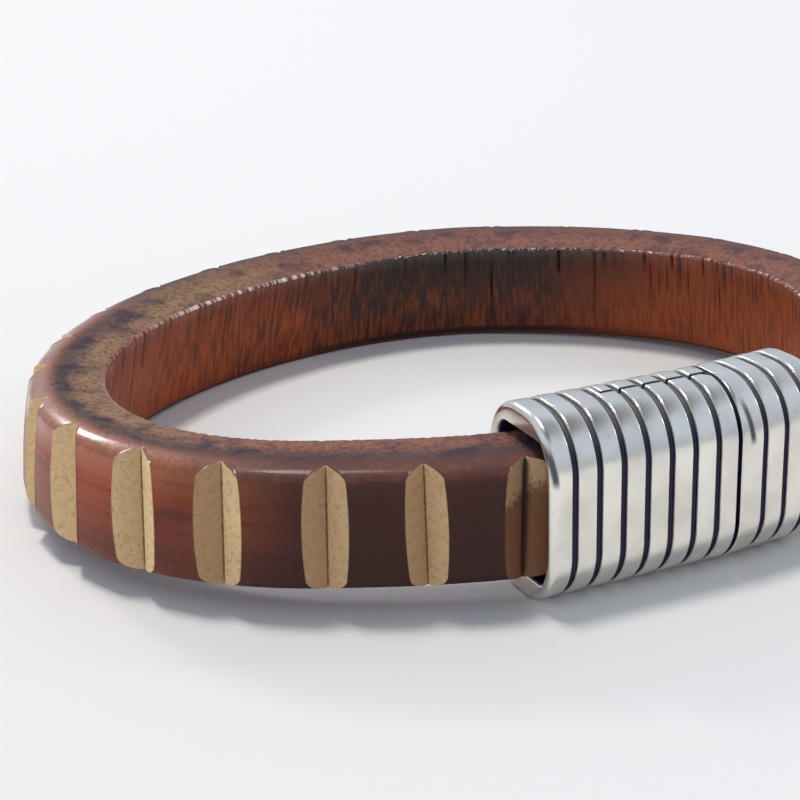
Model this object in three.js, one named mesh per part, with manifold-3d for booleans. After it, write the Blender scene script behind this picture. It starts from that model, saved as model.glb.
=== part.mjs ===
// Leather strap bracelet with a ribbed two-part clasp, lying on its side. Millimetres, +Z up.
// The loop is drawn flat in the XY plane, its band standing along Z, then tilted to lie as it rests by itself:
// the clasp is taller than the strap, so the clasp and the far side of the strap touch the ground.
import * as THREE from "three";
import { mergeVertices } from "three/addons/utils/BufferGeometryUtils.js";
import Module from "manifold-3d";

// Strap section: WIDTH stands along Z, THICK runs from the wrist side to the outside. Its outer face falls
// away in a wide soft shoulder at the top and in a small round one below.
const STRAP_WIDTH = 10;
const STRAP_THICK = 6.4;
const STRAP_SHOULDER_TALL = 1.3;
const STRAP_SHOULDER_DEEP = 2.8;
const STRAP_LOWER_ROUND = 1.1;
const STRAP_WRIST_ROUND = 0.5;
const STRAP_CROWN = 0.15;

// Loop: size of the strap's middle line, as seen from above, and how far the band leans inwards at its
// far side, where it is twisted most
const LOOP_LENGTH = 68.5;
const LOOP_DEPTH = 61;
const FAR_LEAN = 15;

// V cuts across the strap's outer face
const CUT_DEPTH = 1.4;
const CUT_WIDTH = 3.2;
const CUT_PITCH = 7.5;
const CUT_END_MARGIN = 2.5;

// Clasp walls round the strap, and its corners
const CLASP_FRONT_WALL = 1.1;
const CLASP_WRIST_WALL = 2;
const CLASP_LOWER_WALL = 2.1;
const CLASP_UPPER_WALL = 1.9;
const CLASP_FRONT_ROUND = 4.5;
const CLASP_WRIST_ROUND = 4.5;

// Pockets that hold the strap's ends
const POCKET_DEPTH = 5.5;
const POCKET_ROUND = 1.8;
const GAP_SIDE = 0.3;
const GAP_UNDER = 0.4;
const GAP_OVER = 0.9;
const GAP_END = 0.4;

// Ribs: grooves lie RIB_PITCH apart, and the ribs at the ends have widths of their own
const RIB_PITCH = 2.1;
const GROOVE_WIDTH = 0.5;
const GROOVE_DEPTH = 0.35;
const RIB_EDGE = 0.15;
const END_RIB = 2.1;
const LIP_RIB = 1.75;
const SHOULDER_RIB = 2.3;
const SOCKET_GROOVES = 7;
const TONGUE_GROOVES = 3;

// Lap joint between the halves: a tongue on the wrist side, under the shell of the longer half
const TONGUE_LENGTH = 9.3;
const TONGUE_THICK = 5.5;
const TONGUE_ROOT = 1.5;
const LAP_GAP = 0.3;
const SHELL_NICK = 0.7;

// Place of the clasp on the loop, as shares of the half sizes, and its headings in degrees
const SPLIT = { along: 0.54, across: -0.715 };
const SOCKET_HEADING = 26.4;
const CLASP_BEND = 5.1;
const STRAP_TURN_AT_SOCKET = 12;
const STRAP_TURN_AT_TONGUE = 6;

// Turning points of the strap from the socket's mouth round to the tongue's. Places are shares of the half
// sizes, and each reach is the share of the way to the next point that the curve keeps its heading.
const TURNS = [
  { name: "near", along: -0.33, across: -1, heading: 180, reachIn: 0.35, reachOut: 0.58 },
  { name: "left", along: -1, across: -0.25, heading: 90, reachIn: 0.59, reachOut: 0.53 },
  { name: "far", along: 0.08, across: 1, heading: 0, reachIn: 0.45, reachOut: 0.64 },
  { name: "right", along: 1, across: 0.13, heading: -90, reachIn: 0.64, reachOut: 0.48 },
];
const MOUTH_REACH = { socket: 0.35, tongue: 0.43 };

// Cuts on the near side are spaced by hand: places in pitches from the socket's mouth, widths as shares
const HAND_CUTS = [
  { at: 0.05, wide: 1 },
  { at: 0.99, wide: 0.92 },
  { at: 1.95, wide: 1.02 },
  { at: 2.93, wide: 1.02 },
  { at: 3.78, wide: 1.08 },
  { at: 4.73, wide: 1.05 },
  { at: 5.6, wide: 1 },
];

// Fineness of the faceted curves, how far a cutting solid reaches past what it cuts, how near two points
// count as one, and the largest tilt at rest and its accuracy, in radians
const STRAP_STEPS = 80;
const SECTION_ARCS = 2;
const SPILL = 1;
const SAME_POINT = 1e-4;
const MOST_TILT = Math.PI / 12;
const TILT_ACCURACY = 1e-6;

// Sizes worked out from those above
const STRAP_OUT = STRAP_THICK / 2 + STRAP_CROWN;
const CLASP_FRONT = STRAP_OUT + GAP_SIDE + CLASP_FRONT_WALL;
const CLASP_BACK = -(STRAP_THICK / 2 + GAP_SIDE + CLASP_WRIST_WALL);
const CLASP_LOW = -(STRAP_WIDTH / 2 + GAP_UNDER + CLASP_LOWER_WALL);
const CLASP_HIGH = STRAP_WIDTH / 2 + GAP_OVER + CLASP_UPPER_WALL;
const LAP_PLANE = CLASP_BACK + TONGUE_THICK;
const SOCKET_LENGTH = END_RIB + (SOCKET_GROOVES - 1) * RIB_PITCH + LIP_RIB;
const TONGUE_BODY = SHOULDER_RIB + (TONGUE_GROOVES - 1) * RIB_PITCH + END_RIB;

const wasm = await Module();
wasm.setup();

/** Turns a closed three.js geometry into a solid that can be joined and cut. */
function solid(geometry) {
  const bare = geometry.clone();
  bare.deleteAttribute("normal");
  bare.deleteAttribute("uv");
  const merged = mergeVertices(bare, SAME_POINT);
  const vertProperties = new Float32Array(merged.attributes.position.array);
  const triVerts = new Uint32Array(merged.index.array);
  return new wasm.Manifold(new wasm.Mesh({ numProp: 3, vertProperties, triVerts }));
}

/** Gives a joined or cut solid back as a geometry. */
function geometryOf(body) {
  const { vertProperties, triVerts, numProp } = body.getMesh();
  const geometry = new THREE.BufferGeometry();
  const points = [];
  for (let i = 0; i < vertProperties.length; i += numProp) {
    points.push(vertProperties[i], vertProperties[i + 1], vertProperties[i + 2]);
  }
  geometry.setAttribute("position", new THREE.Float32BufferAttribute(points, 3));
  geometry.setIndex([...triVerts]);
  geometry.computeVertexNormals();
  return geometry;
}

/** Unit vector in the XY plane. */
function direction(degrees) {
  const turn = THREE.MathUtils.degToRad(degrees);
  return new THREE.Vector3(Math.cos(turn), Math.sin(turn), 0);
}

/** Place on the flat loop from shares of its half sizes. */
function placeOnLoop({ along, across }) {
  return new THREE.Vector3((along * LOOP_LENGTH) / 2, (across * LOOP_DEPTH) / 2, 0);
}

/**
 * Rectangle with round corners: x from low to high, y from back to front. The front swells by crown, and the
 * shoulder is its corner at low, a quarter of an ellipse.
 */
function roundedSection({ low, high, back, front, backRound, frontRound, shoulder, crown = 0 }) {
  const { tall, deep } = shoulder ?? { tall: frontRound, deep: frontRound };
  const shape = new THREE.Shape();
  shape.moveTo(low + tall, front);
  shape.absellipse(low + tall, front - deep, tall, deep, Math.PI / 2, Math.PI, false, 0);
  shape.absarc(low + backRound, back + backRound, backRound, Math.PI, 1.5 * Math.PI, false);
  shape.absarc(high - backRound, back + backRound, backRound, 1.5 * Math.PI, 2 * Math.PI, false);
  shape.absarc(high - frontRound, front - frontRound, frontRound, 0, Math.PI / 2, false);
  if (crown > 0) {
    shape.quadraticCurveTo((low + high) / 2, front + 2 * crown, low + tall, front);
  }
  return shape;
}

// The clasp's own frame has its origin where the halves meet on the strap's middle line, +X up, +Y away
// from the wrist and +Z along the clasp, towards the tongue half.
const splitPoint = placeOnLoop(SPLIT);

/** Matrix that takes the clasp from its own frame to the loop. */
function claspFrame(heading) {
  const along = direction(heading);
  const outward = direction(heading - 90);
  const up = new THREE.Vector3(0, 0, 1);
  return new THREE.Matrix4().makeBasis(up, outward, along).setPosition(splitPoint);
}

/** Section of the clasp, shrunk by inset on every side. */
function claspSection(inset) {
  return roundedSection({
    low: CLASP_LOW + inset,
    high: CLASP_HIGH - inset,
    back: CLASP_BACK + inset,
    front: CLASP_FRONT - inset,
    backRound: CLASP_WRIST_ROUND - inset,
    frontRound: CLASP_FRONT_ROUND - inset,
  });
}

/** Straight bar of a section between two places along the clasp. */
function bar(shape, from, to) {
  const geometry = new THREE.ExtrudeGeometry(shape, {
    depth: to - from,
    bevelEnabled: false,
    curveSegments: SECTION_ARCS,
  });
  return solid(geometry.translate(0, 0, from));
}

/** One rib with softened edges between two places along the clasp. */
function rib(from, to) {
  const geometry = new THREE.ExtrudeGeometry(claspSection(0), {
    depth: to - from - 2 * RIB_EDGE,
    bevelEnabled: true,
    bevelThickness: RIB_EDGE,
    bevelSize: RIB_EDGE,
    bevelOffset: -RIB_EDGE,
    bevelSegments: 1,
    curveSegments: SECTION_ARCS,
  });
  return solid(geometry.translate(0, 0, from + RIB_EDGE));
}

/** Core with ribs round it, from start to end, with grooves at the given middles. */
function ribbedBar(start, end, grooves) {
  let body = bar(claspSection(GROOVE_DEPTH), start + RIB_EDGE, end - RIB_EDGE);
  const edges = [start, ...grooves.flatMap((at) => [at - GROOVE_WIDTH / 2, at + GROOVE_WIDTH / 2]), end];
  for (let i = 0; i < edges.length; i += 2) {
    body = body.add(rib(edges[i], edges[i + 1]));
  }
  return body;
}

/** Block across the whole clasp, between two places along it and two places outward. */
function block(from, to, back, front) {
  const tall = CLASP_HIGH - CLASP_LOW + 2 * SPILL;
  const geometry = new THREE.BoxGeometry(tall, front - back, to - from);
  geometry.translate((CLASP_HIGH + CLASP_LOW) / 2, (front + back) / 2, (from + to) / 2);
  return solid(geometry);
}

/** Room for a strap end, from the mouth inwards. */
function pocket(from, to) {
  const shape = roundedSection({
    low: -(STRAP_WIDTH / 2 + GAP_UNDER),
    high: STRAP_WIDTH / 2 + GAP_OVER,
    back: -(STRAP_THICK / 2 + GAP_SIDE),
    front: STRAP_OUT + GAP_SIDE,
    backRound: STRAP_WRIST_ROUND,
    frontRound: POCKET_ROUND,
  });
  return bar(shape, from, to);
}

/** Middles of the grooves on the longer half, and on the tongue that continues them. */
function socketGrooves() {
  return Array.from({ length: SOCKET_GROOVES }, (_, i) => -LIP_RIB - i * RIB_PITCH).reverse();
}

/** Longer half: ribbed shell with the pocket for the strap at its left end. */
function claspSocket() {
  const tip = -TONGUE_LENGTH - LAP_GAP;
  const lap = block(tip, SPILL, CLASP_BACK - SPILL, LAP_PLANE);
  const nick = new THREE.Shape([
    new THREE.Vector2(LAP_PLANE - SPILL, SPILL),
    new THREE.Vector2(LAP_PLANE - SPILL, -SHELL_NICK - SPILL),
    new THREE.Vector2(LAP_PLANE + SHELL_NICK + SPILL, SPILL),
  ]);
  const tall = CLASP_HIGH - CLASP_LOW + 2 * SPILL;
  const nickPrism = new THREE.ExtrudeGeometry(nick, { depth: tall, bevelEnabled: false });
  // The prism is drawn outward and along, then stood across the clasp
  const across = new THREE.Matrix4().makeBasis(
    new THREE.Vector3(0, 1, 0),
    new THREE.Vector3(0, 0, 1),
    new THREE.Vector3(1, 0, 0),
  );
  nickPrism.applyMatrix4(across).translate(CLASP_LOW - SPILL, 0, 0);
  return ribbedBar(-SOCKET_LENGTH, 0, socketGrooves())
    .subtract(pocket(-SOCKET_LENGTH - SPILL, -SOCKET_LENGTH + POCKET_DEPTH))
    .subtract(lap)
    .subtract(solid(nickPrism));
}

/** Shorter half: ribbed body bent by CLASP_BEND, with the straight tongue that lies under the shell. */
function claspTongue() {
  const bend = new THREE.Matrix4().makeRotationX(THREE.MathUtils.degToRad(CLASP_BEND));
  const turned = (body) => solid(geometryOf(body).applyMatrix4(bend));
  const grooves = Array.from({ length: TONGUE_GROOVES }, (_, i) => SHOULDER_RIB + i * RIB_PITCH);
  const bodyBar = ribbedBar(-SHOULDER_RIB, TONGUE_BODY, grooves).subtract(
    pocket(TONGUE_BODY - POCKET_DEPTH, TONGUE_BODY + SPILL),
  );
  const shoulder = block(-2 * SHOULDER_RIB, LAP_GAP, CLASP_BACK - SPILL, CLASP_FRONT + SPILL);
  const body = turned(bodyBar).subtract(shoulder);
  const core = bar(claspSection(GROOVE_DEPTH), -RIB_EDGE, TONGUE_ROOT);
  const ribs = ribbedBar(-SOCKET_LENGTH, 0, socketGrooves()).add(core);
  const reach = block(-TONGUE_LENGTH, 2 * TONGUE_ROOT, CLASP_BACK - SPILL, LAP_PLANE - LAP_GAP);
  return body.add(ribs.intersect(reach));
}

// Mouths of the two pockets, and the strap's heading as it leaves each
const socketAxis = direction(SOCKET_HEADING);
const tongueAxis = direction(SOCKET_HEADING + CLASP_BEND);
const socketMouth = splitPoint.clone().addScaledVector(socketAxis, -SOCKET_LENGTH);
const tongueMouth = splitPoint.clone().addScaledVector(tongueAxis, TONGUE_BODY);
const held = POCKET_DEPTH - GAP_END;

/** One smooth stretch of the strap's middle line between two turning points. */
function stretch(from, to) {
  const span = to.at.clone().sub(from.at);
  const leave = from.along.clone().multiplyScalar(from.reachOut * span.dot(from.along));
  const arrive = to.along.clone().multiplyScalar(to.reachIn * span.dot(to.along));
  return new THREE.CubicBezierCurve3(from.at, from.at.clone().add(leave), to.at.clone().sub(arrive), to.at);
}

/** The strap's middle line: from inside one pocket, round the wrist, into the other. */
function strapLine() {
  const points = [
    {
      at: socketMouth,
      along: direction(SOCKET_HEADING + 180 - STRAP_TURN_AT_SOCKET),
      reachOut: MOUTH_REACH.socket,
    },
    ...TURNS.map((turn) => ({ ...turn, at: placeOnLoop(turn), along: direction(turn.heading) })),
    {
      at: tongueMouth,
      along: direction(SOCKET_HEADING + CLASP_BEND + STRAP_TURN_AT_TONGUE - 180),
      reachIn: MOUTH_REACH.tongue,
    },
  ];
  const line = new THREE.CurvePath();
  line.add(new THREE.LineCurve3(socketMouth.clone().addScaledVector(socketAxis, held), socketMouth));
  for (let i = 1; i < points.length; i++) {
    line.add(stretch(points[i - 1], points[i]));
  }
  line.add(new THREE.LineCurve3(tongueMouth, tongueMouth.clone().addScaledVector(tongueAxis, -held)));
  return line;
}

/** The strap's own frame at a share of its line: +X down the band, +Y outward, +Z along, leaning with it. */
function strapFrame(line, share) {
  const along = line.getTangentAt(share);
  const outward = new THREE.Vector3(-along.y, along.x, 0);
  const down = new THREE.Vector3(0, 0, -1);
  const lean = THREE.MathUtils.degToRad(FAR_LEAN) * Math.sin(Math.PI * share) ** 2;
  const turn = new THREE.Quaternion().setFromAxisAngle(along, lean);
  outward.applyQuaternion(turn);
  down.applyQuaternion(turn);
  return new THREE.Matrix4().makeBasis(down, outward, along).setPosition(line.getPointAt(share));
}

/** Wedge that makes one V cut at a length along the strap's middle line. */
function cutter(line, length, wide) {
  const share = length / line.getLength();
  const open = ((wide * CUT_WIDTH) / 2) * ((CUT_DEPTH + SPILL) / CUT_DEPTH);
  const wedge = new THREE.Shape([
    new THREE.Vector2(0, STRAP_OUT - CUT_DEPTH),
    new THREE.Vector2(open, STRAP_OUT + SPILL),
    new THREE.Vector2(-open, STRAP_OUT + SPILL),
  ]);
  const tall = STRAP_WIDTH + 2 * SPILL;
  const geometry = new THREE.ExtrudeGeometry(wedge, { depth: tall, bevelEnabled: false });
  // Drawn along and outward, the wedge is turned to stand across the band
  geometry.translate(0, 0, -tall / 2).rotateY(-Math.PI / 2);
  return solid(geometry.applyMatrix4(strapFrame(line, share)));
}

/** Straight bar bent round a line, leaning with the strap's frame at each length. */
function bentBar(shape, line) {
  const geometry = new THREE.ExtrudeGeometry(shape, {
    depth: 1,
    steps: STRAP_STEPS,
    bevelEnabled: false,
    curveSegments: SECTION_ARCS,
  });
  const { position } = geometry.attributes;
  const frames = new Map();
  const point = new THREE.Vector3();
  for (let i = 0; i < position.count; i++) {
    point.fromBufferAttribute(position, i);
    const share = point.z;
    if (!frames.has(share)) {
      frames.set(share, strapFrame(line, share));
    }
    point.setZ(0).applyMatrix4(frames.get(share));
    position.setXYZ(i, point.x, point.y, point.z);
  }
  return solid(geometry);
}

/** Strap swept along its line, with a V cut at each step of the pattern. */
function strap() {
  const line = strapLine();
  const section = roundedSection({
    low: -STRAP_WIDTH / 2,
    high: STRAP_WIDTH / 2,
    back: -STRAP_THICK / 2,
    front: STRAP_THICK / 2,
    backRound: STRAP_WRIST_ROUND,
    frontRound: STRAP_LOWER_ROUND,
    shoulder: { tall: STRAP_SHOULDER_TALL, deep: STRAP_SHOULDER_DEEP },
    crown: STRAP_CROWN,
  });
  let body = bentBar(section, line);
  const last = line.getLength() - held - CUT_END_MARGIN;
  const cuts = HAND_CUTS.map(({ at, wide }) => ({ length: held + at * CUT_PITCH, wide }));
  for (let at = cuts.at(-1).length + CUT_PITCH; at < last; at += CUT_PITCH) {
    cuts.push({ length: at, wide: 1 });
  }
  for (const { length, wide } of cuts) {
    body = body.subtract(cutter(line, length, wide));
  }
  return body;
}

/** Named mesh of one piece. */
function piece(name, geometry, material) {
  const mesh = new THREE.Mesh(geometry, material);
  mesh.name = name;
  return mesh;
}

const leather = new THREE.MeshStandardMaterial({ color: 0x6e3a2a, roughness: 0.5, metalness: 0 });
const silver = new THREE.MeshStandardMaterial({ color: 0xc9ccd0, roughness: 0.28, metalness: 1 });

const strapMesh = piece("strap", geometryOf(strap()), leather);
const frame = claspFrame(SOCKET_HEADING);
const socketMesh = piece("clasp_socket", geometryOf(claspSocket()).applyMatrix4(frame), silver);
const tongueMesh = piece("clasp_tongue", geometryOf(claspTongue()).applyMatrix4(frame), silver);

/** Lowest height of some meshes after a turn. */
function lowest(meshes, turn) {
  const point = new THREE.Vector3();
  let low = Infinity;
  for (const { geometry } of meshes) {
    const { position } = geometry.attributes;
    for (let i = 0; i < position.count; i++) {
      low = Math.min(low, point.fromBufferAttribute(position, i).applyQuaternion(turn).z);
    }
  }
  return low;
}

/** Turn about the clasp's line that brings the far side of the strap down to the ground, by halving. */
function restingTurn() {
  const line = tongueMouth.clone().sub(socketMouth).normalize();
  const turn = new THREE.Quaternion();
  let less = 0;
  let more = MOST_TILT;
  while (more - less > TILT_ACCURACY) {
    const tilt = (less + more) / 2;
    turn.setFromAxisAngle(line, -tilt);
    if (lowest([socketMesh, tongueMesh], turn) < lowest([strapMesh], turn)) {
      less = tilt;
    } else {
      more = tilt;
    }
  }
  return turn;
}

const bracelet = new THREE.Group();
bracelet.name = "bracelet";
bracelet.add(strapMesh, socketMesh, tongueMesh);
bracelet.quaternion.copy(restingTurn());
bracelet.updateMatrixWorld(true);
const bounds = new THREE.Box3().setFromObject(bracelet, true);
const middle = bounds.getCenter(new THREE.Vector3());
bracelet.position.set(-middle.x, -middle.y, -bounds.min.z);

export default bracelet;
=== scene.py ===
"""Dresses a leather strap bracelet with a ribbed silver lap clasp, lying on its side on a pale floor."""

import logging
import math
from dataclasses import dataclass, field
from enum import Enum

import bpy
import numpy as np
from mathutils import Matrix, Vector

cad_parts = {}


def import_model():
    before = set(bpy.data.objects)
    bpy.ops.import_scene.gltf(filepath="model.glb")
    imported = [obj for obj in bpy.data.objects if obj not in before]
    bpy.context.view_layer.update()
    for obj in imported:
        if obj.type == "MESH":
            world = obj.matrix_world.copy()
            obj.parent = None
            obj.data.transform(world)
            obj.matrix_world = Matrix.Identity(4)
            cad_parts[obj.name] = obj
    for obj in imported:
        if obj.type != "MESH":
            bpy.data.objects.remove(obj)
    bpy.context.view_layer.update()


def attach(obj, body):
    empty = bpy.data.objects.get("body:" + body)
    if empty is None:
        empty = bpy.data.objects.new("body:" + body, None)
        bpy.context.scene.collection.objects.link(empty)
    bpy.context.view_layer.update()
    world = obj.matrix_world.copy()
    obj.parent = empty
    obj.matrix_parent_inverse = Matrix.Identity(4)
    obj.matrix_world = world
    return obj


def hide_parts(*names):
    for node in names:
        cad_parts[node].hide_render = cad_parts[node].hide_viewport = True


LOG = logging.getLogger("bracelet")
MM = 0.001
Colour = tuple[float, float, float, float]


def direction(degrees: float) -> np.ndarray:
    """Unit vector in the plane of the flat loop."""
    turn = math.radians(degrees)
    return np.array([math.cos(turn), math.sin(turn), 0.0])


def ease(low: float, high: float, value: np.ndarray) -> np.ndarray:
    """Smooth step from 0 at low to 1 at high."""
    share = np.clip((value - low) / (high - low), 0.0, 1.0)
    return share * share * (3 - 2 * share)


def tone(red: int, green: int, blue: int) -> Colour:
    """Linear colour of screen values from 0 to 255."""
    shares = (red / 255, green / 255, blue / 255)
    linear = [share / 12.92 if share <= 0.04045 else ((share + 0.055) / 1.055) ** 2.4 for share in shares]
    return (linear[0], linear[1], linear[2], 1.0)


@dataclass(frozen=True)
class Relief:
    """Smooth random relief over two lengths, the same on every run.

    Attributes:
        across: size of a bump along the first length, in metres.
        down: size of a bump along the second length, in metres.
        seed: seed of the random heights.
    """

    across: float
    down: float
    seed: int

    def at(self, first: np.ndarray, second: np.ndarray) -> np.ndarray:
        """Heights from -1 to 1.

        Args:
            first: places along the first length.
            second: places along the second length.

        Returns:
            One height for each pair of places.
        """
        u = (first - first.min()) / self.across
        v = (second - second.min()) / self.down
        size = (int(u.max()) + 3, int(v.max()) + 3)
        heights = np.random.default_rng(self.seed).uniform(-1, 1, size)
        i, j = u.astype(int), v.astype(int)
        a, b = ease(0, 1, u - i), ease(0, 1, v - j)
        near = heights[i, j] * (1 - b) + heights[i, j + 1] * b
        far = heights[i + 1, j] * (1 - b) + heights[i + 1, j + 1] * b
        return near * (1 - a) + far * a


class Signal:
    """Output of a node, usable in arithmetic that adds Math nodes to its tree."""

    def __init__(self, nodes: "Nodes", socket: bpy.types.NodeSocket) -> None:
        """Wraps one socket of a tree."""
        self.nodes = nodes
        self.socket = socket

    def __add__(self, other: "Signal | float") -> "Signal":
        """Sum."""
        return self.nodes.math("ADD", self, other)

    def __radd__(self, other: float) -> "Signal":
        """Sum with a number on the left."""
        return self.nodes.math("ADD", other, self)

    def __sub__(self, other: "Signal | float") -> "Signal":
        """Difference."""
        return self.nodes.math("SUBTRACT", self, other)

    def __rsub__(self, other: float) -> "Signal":
        """Difference with a number on the left."""
        return self.nodes.math("SUBTRACT", other, self)

    def __mul__(self, other: "Signal | float") -> "Signal":
        """Product."""
        return self.nodes.math("MULTIPLY", self, other)

    def __rmul__(self, other: float) -> "Signal":
        """Product with a number on the left."""
        return self.nodes.math("MULTIPLY", other, self)

    def __truediv__(self, other: "Signal | float") -> "Signal":
        """Quotient."""
        return self.nodes.math("DIVIDE", self, other)

    def __abs__(self) -> "Signal":
        """Size without its sign."""
        return self.nodes.math("ABSOLUTE", self)

    def at_most(self, other: "Signal | float") -> "Signal":
        """The smaller of two."""
        return self.nodes.math("MINIMUM", self, other)

    def at_least(self, other: "Signal | float") -> "Signal":
        """The larger of two."""
        return self.nodes.math("MAXIMUM", self, other)

    def rise(self, low: float, high: float) -> "Signal":
        """Smooth step.

        Args:
            low: where it is 0.
            high: where it is 1, also below low.

        Returns:
            The step.
        """
        if low > high:
            return 1 - self.rise(high, low)
        inputs = {"Value": self, "From Min": low, "From Max": high}
        return self.nodes.add("ShaderNodeMapRange", {"interpolation_type": "SMOOTHSTEP"}, inputs)


class Nodes:
    """A node tree, for a material, the surroundings or geometry."""

    def __init__(self, tree: bpy.types.NodeTree) -> None:
        """Empties the tree."""
        self.tree = tree
        tree.nodes.clear()

    def add(self, kind: str, settings: dict | None = None, inputs: dict | None = None,
            output: int | str = 0) -> Signal | None:
        """Adds one node.

        Args:
            kind: the node's type.
            settings: its properties, set first.
            inputs: numbers, colours or signals by the name or number of the socket.
            output: name or number of the output that is wanted.

        Returns:
            That output, or None where the node has none.
        """
        node = self.tree.nodes.new(kind)
        for name, value in (settings or {}).items():
            setattr(node, name, value)
        for key, value in (inputs or {}).items():
            if isinstance(value, Signal):
                self.tree.links.new(value.socket, node.inputs[key])
            else:
                node.inputs[key].default_value = value
        return Signal(self, node.outputs[output]) if len(node.outputs) else None

    def math(self, operation: str, *values: "Signal | float") -> Signal:
        """Adds a Math node on one or more values."""
        return self.add("ShaderNodeMath", {"operation": operation}, dict(enumerate(values)))

    def vector(self, x: Signal, y: Signal) -> Signal:
        """Joins two numbers to a flat vector."""
        return self.add("ShaderNodeCombineXYZ", inputs={"X": x, "Y": y})

    def noise(self, where: Signal, scale: float, detail: float) -> Signal:
        """Adds a noise.

        Args:
            where: the vector that it follows.
            scale: bumps in a metre, or in one unit of the vector.
            detail: how many finer layers it has.

        Returns:
            Its height, about 0.5 in the middle.
        """
        return self.add("ShaderNodeTexNoise", inputs={"Vector": where, "Scale": scale, "Detail": detail})

    def mix(self, share: Signal, first: "Signal | Colour", second: "Signal | Colour") -> Signal:
        """Mixes two colours: first at 0, second at 1."""
        settings = {"data_type": "RGBA", "clamp_factor": True}
        return self.add("ShaderNodeMix", settings, {0: share, 6: first, 7: second}, output=2)

    def blend(self, share: Signal, first: "Signal | float", second: "Signal | float") -> Signal:
        """Mixes two numbers: first at 0, second at 1."""
        return self.add("ShaderNodeMix", {"data_type": "FLOAT"}, {0: share, 2: first, 3: second})


class Surface(Nodes):
    """The node tree of one material."""

    def __init__(self, name: str) -> None:
        """Creates the material."""
        self.material = bpy.data.materials.new(name)
        self.material.use_nodes = True
        super().__init__(self.material.node_tree)

    def attribute(self, name: str) -> Signal:
        """A number kept on the mesh."""
        return self.add("ShaderNodeAttribute", {"attribute_name": name}, output="Fac")

    def place(self) -> Signal:
        """Place on the object, in metres."""
        return self.add("ShaderNodeTexCoord", output="Object")

    def split(self, vector: Signal, axis: str) -> Signal:
        """One number of a vector."""
        return self.add("ShaderNodeSeparateXYZ", inputs={0: vector}, output=axis)

    def bump(self, height: Signal, distance: float, strength: float) -> Signal:
        """Adds a bump.

        Args:
            height: heights from 0 to 1.
            distance: the depth that 1 stands for, in metres.
            strength: how much of it shows.

        Returns:
            The bumped normal.
        """
        inputs = {"Height": height, "Distance": distance, "Strength": strength}
        return self.add("ShaderNodeBump", inputs=inputs)

    def finish(self, inputs: dict) -> bpy.types.Material:
        """Ends the tree in one Principled shader with these inputs."""
        shader = self.add("ShaderNodeBsdfPrincipled", inputs=inputs)
        self.add("ShaderNodeOutputMaterial", inputs={"Surface": shader})
        return self.material


class Hide(Surface):
    """The tree of the strap's leather, with what the colours of all its sides go by.

    Attributes:
        x: place from left to right, in metres.
        far: 1 on the far side of the loop, 0 on the near side.
        along: running length from the socket's end of the strap, in metres.
        around: place round the outline, in zones: 0 to 1 is the wrist side, 2 to 3 the top, 3 to 4 the
            shoulder and 4 to 5 the outer face.
        facet: place across a cut, from -1 to 1, and 2 between the cuts.
        crease: depth of the wrinkles, as a share.
        cloud, haze, blot, speck, grain: noises, from the coarsest to the finest.
        right: 1 beside the clasp on the near side, where the leather is darker and the cuts take more painted
            shade.
        ragged: place round the outline with a ragged edge, in zones.
    """

    def __init__(self, name: str) -> None:
        """Creates the material and adds the shared nodes.

        Args:
            name: name of the material.
        """
        super().__init__(name)
        where = self.place()
        self.x = self.split(where, "X")
        self.far = self.split(where, "Y").rise(-2 * MM, 12 * MM)
        self.along, self.around = self.attribute("along"), self.attribute("around")
        self.facet, self.crease = self.attribute("facet"), self.attribute("crease")
        self.cloud, self.haze = self.noise(where, 90, 3), self.noise(where, 110, 3)
        self.blot, self.speck, self.grain = (self.noise(where, scale, 3) for scale in (420, 2300, 6500))
        self.right = (self.x + (self.cloud - 0.5) * (12 * MM)).rise(-29 * MM, -11 * MM) * (1 - self.far)
        self.ragged = self.around + (self.speck - 0.5) * 0.5 + (self.blot - 0.5) * 0.4


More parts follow.
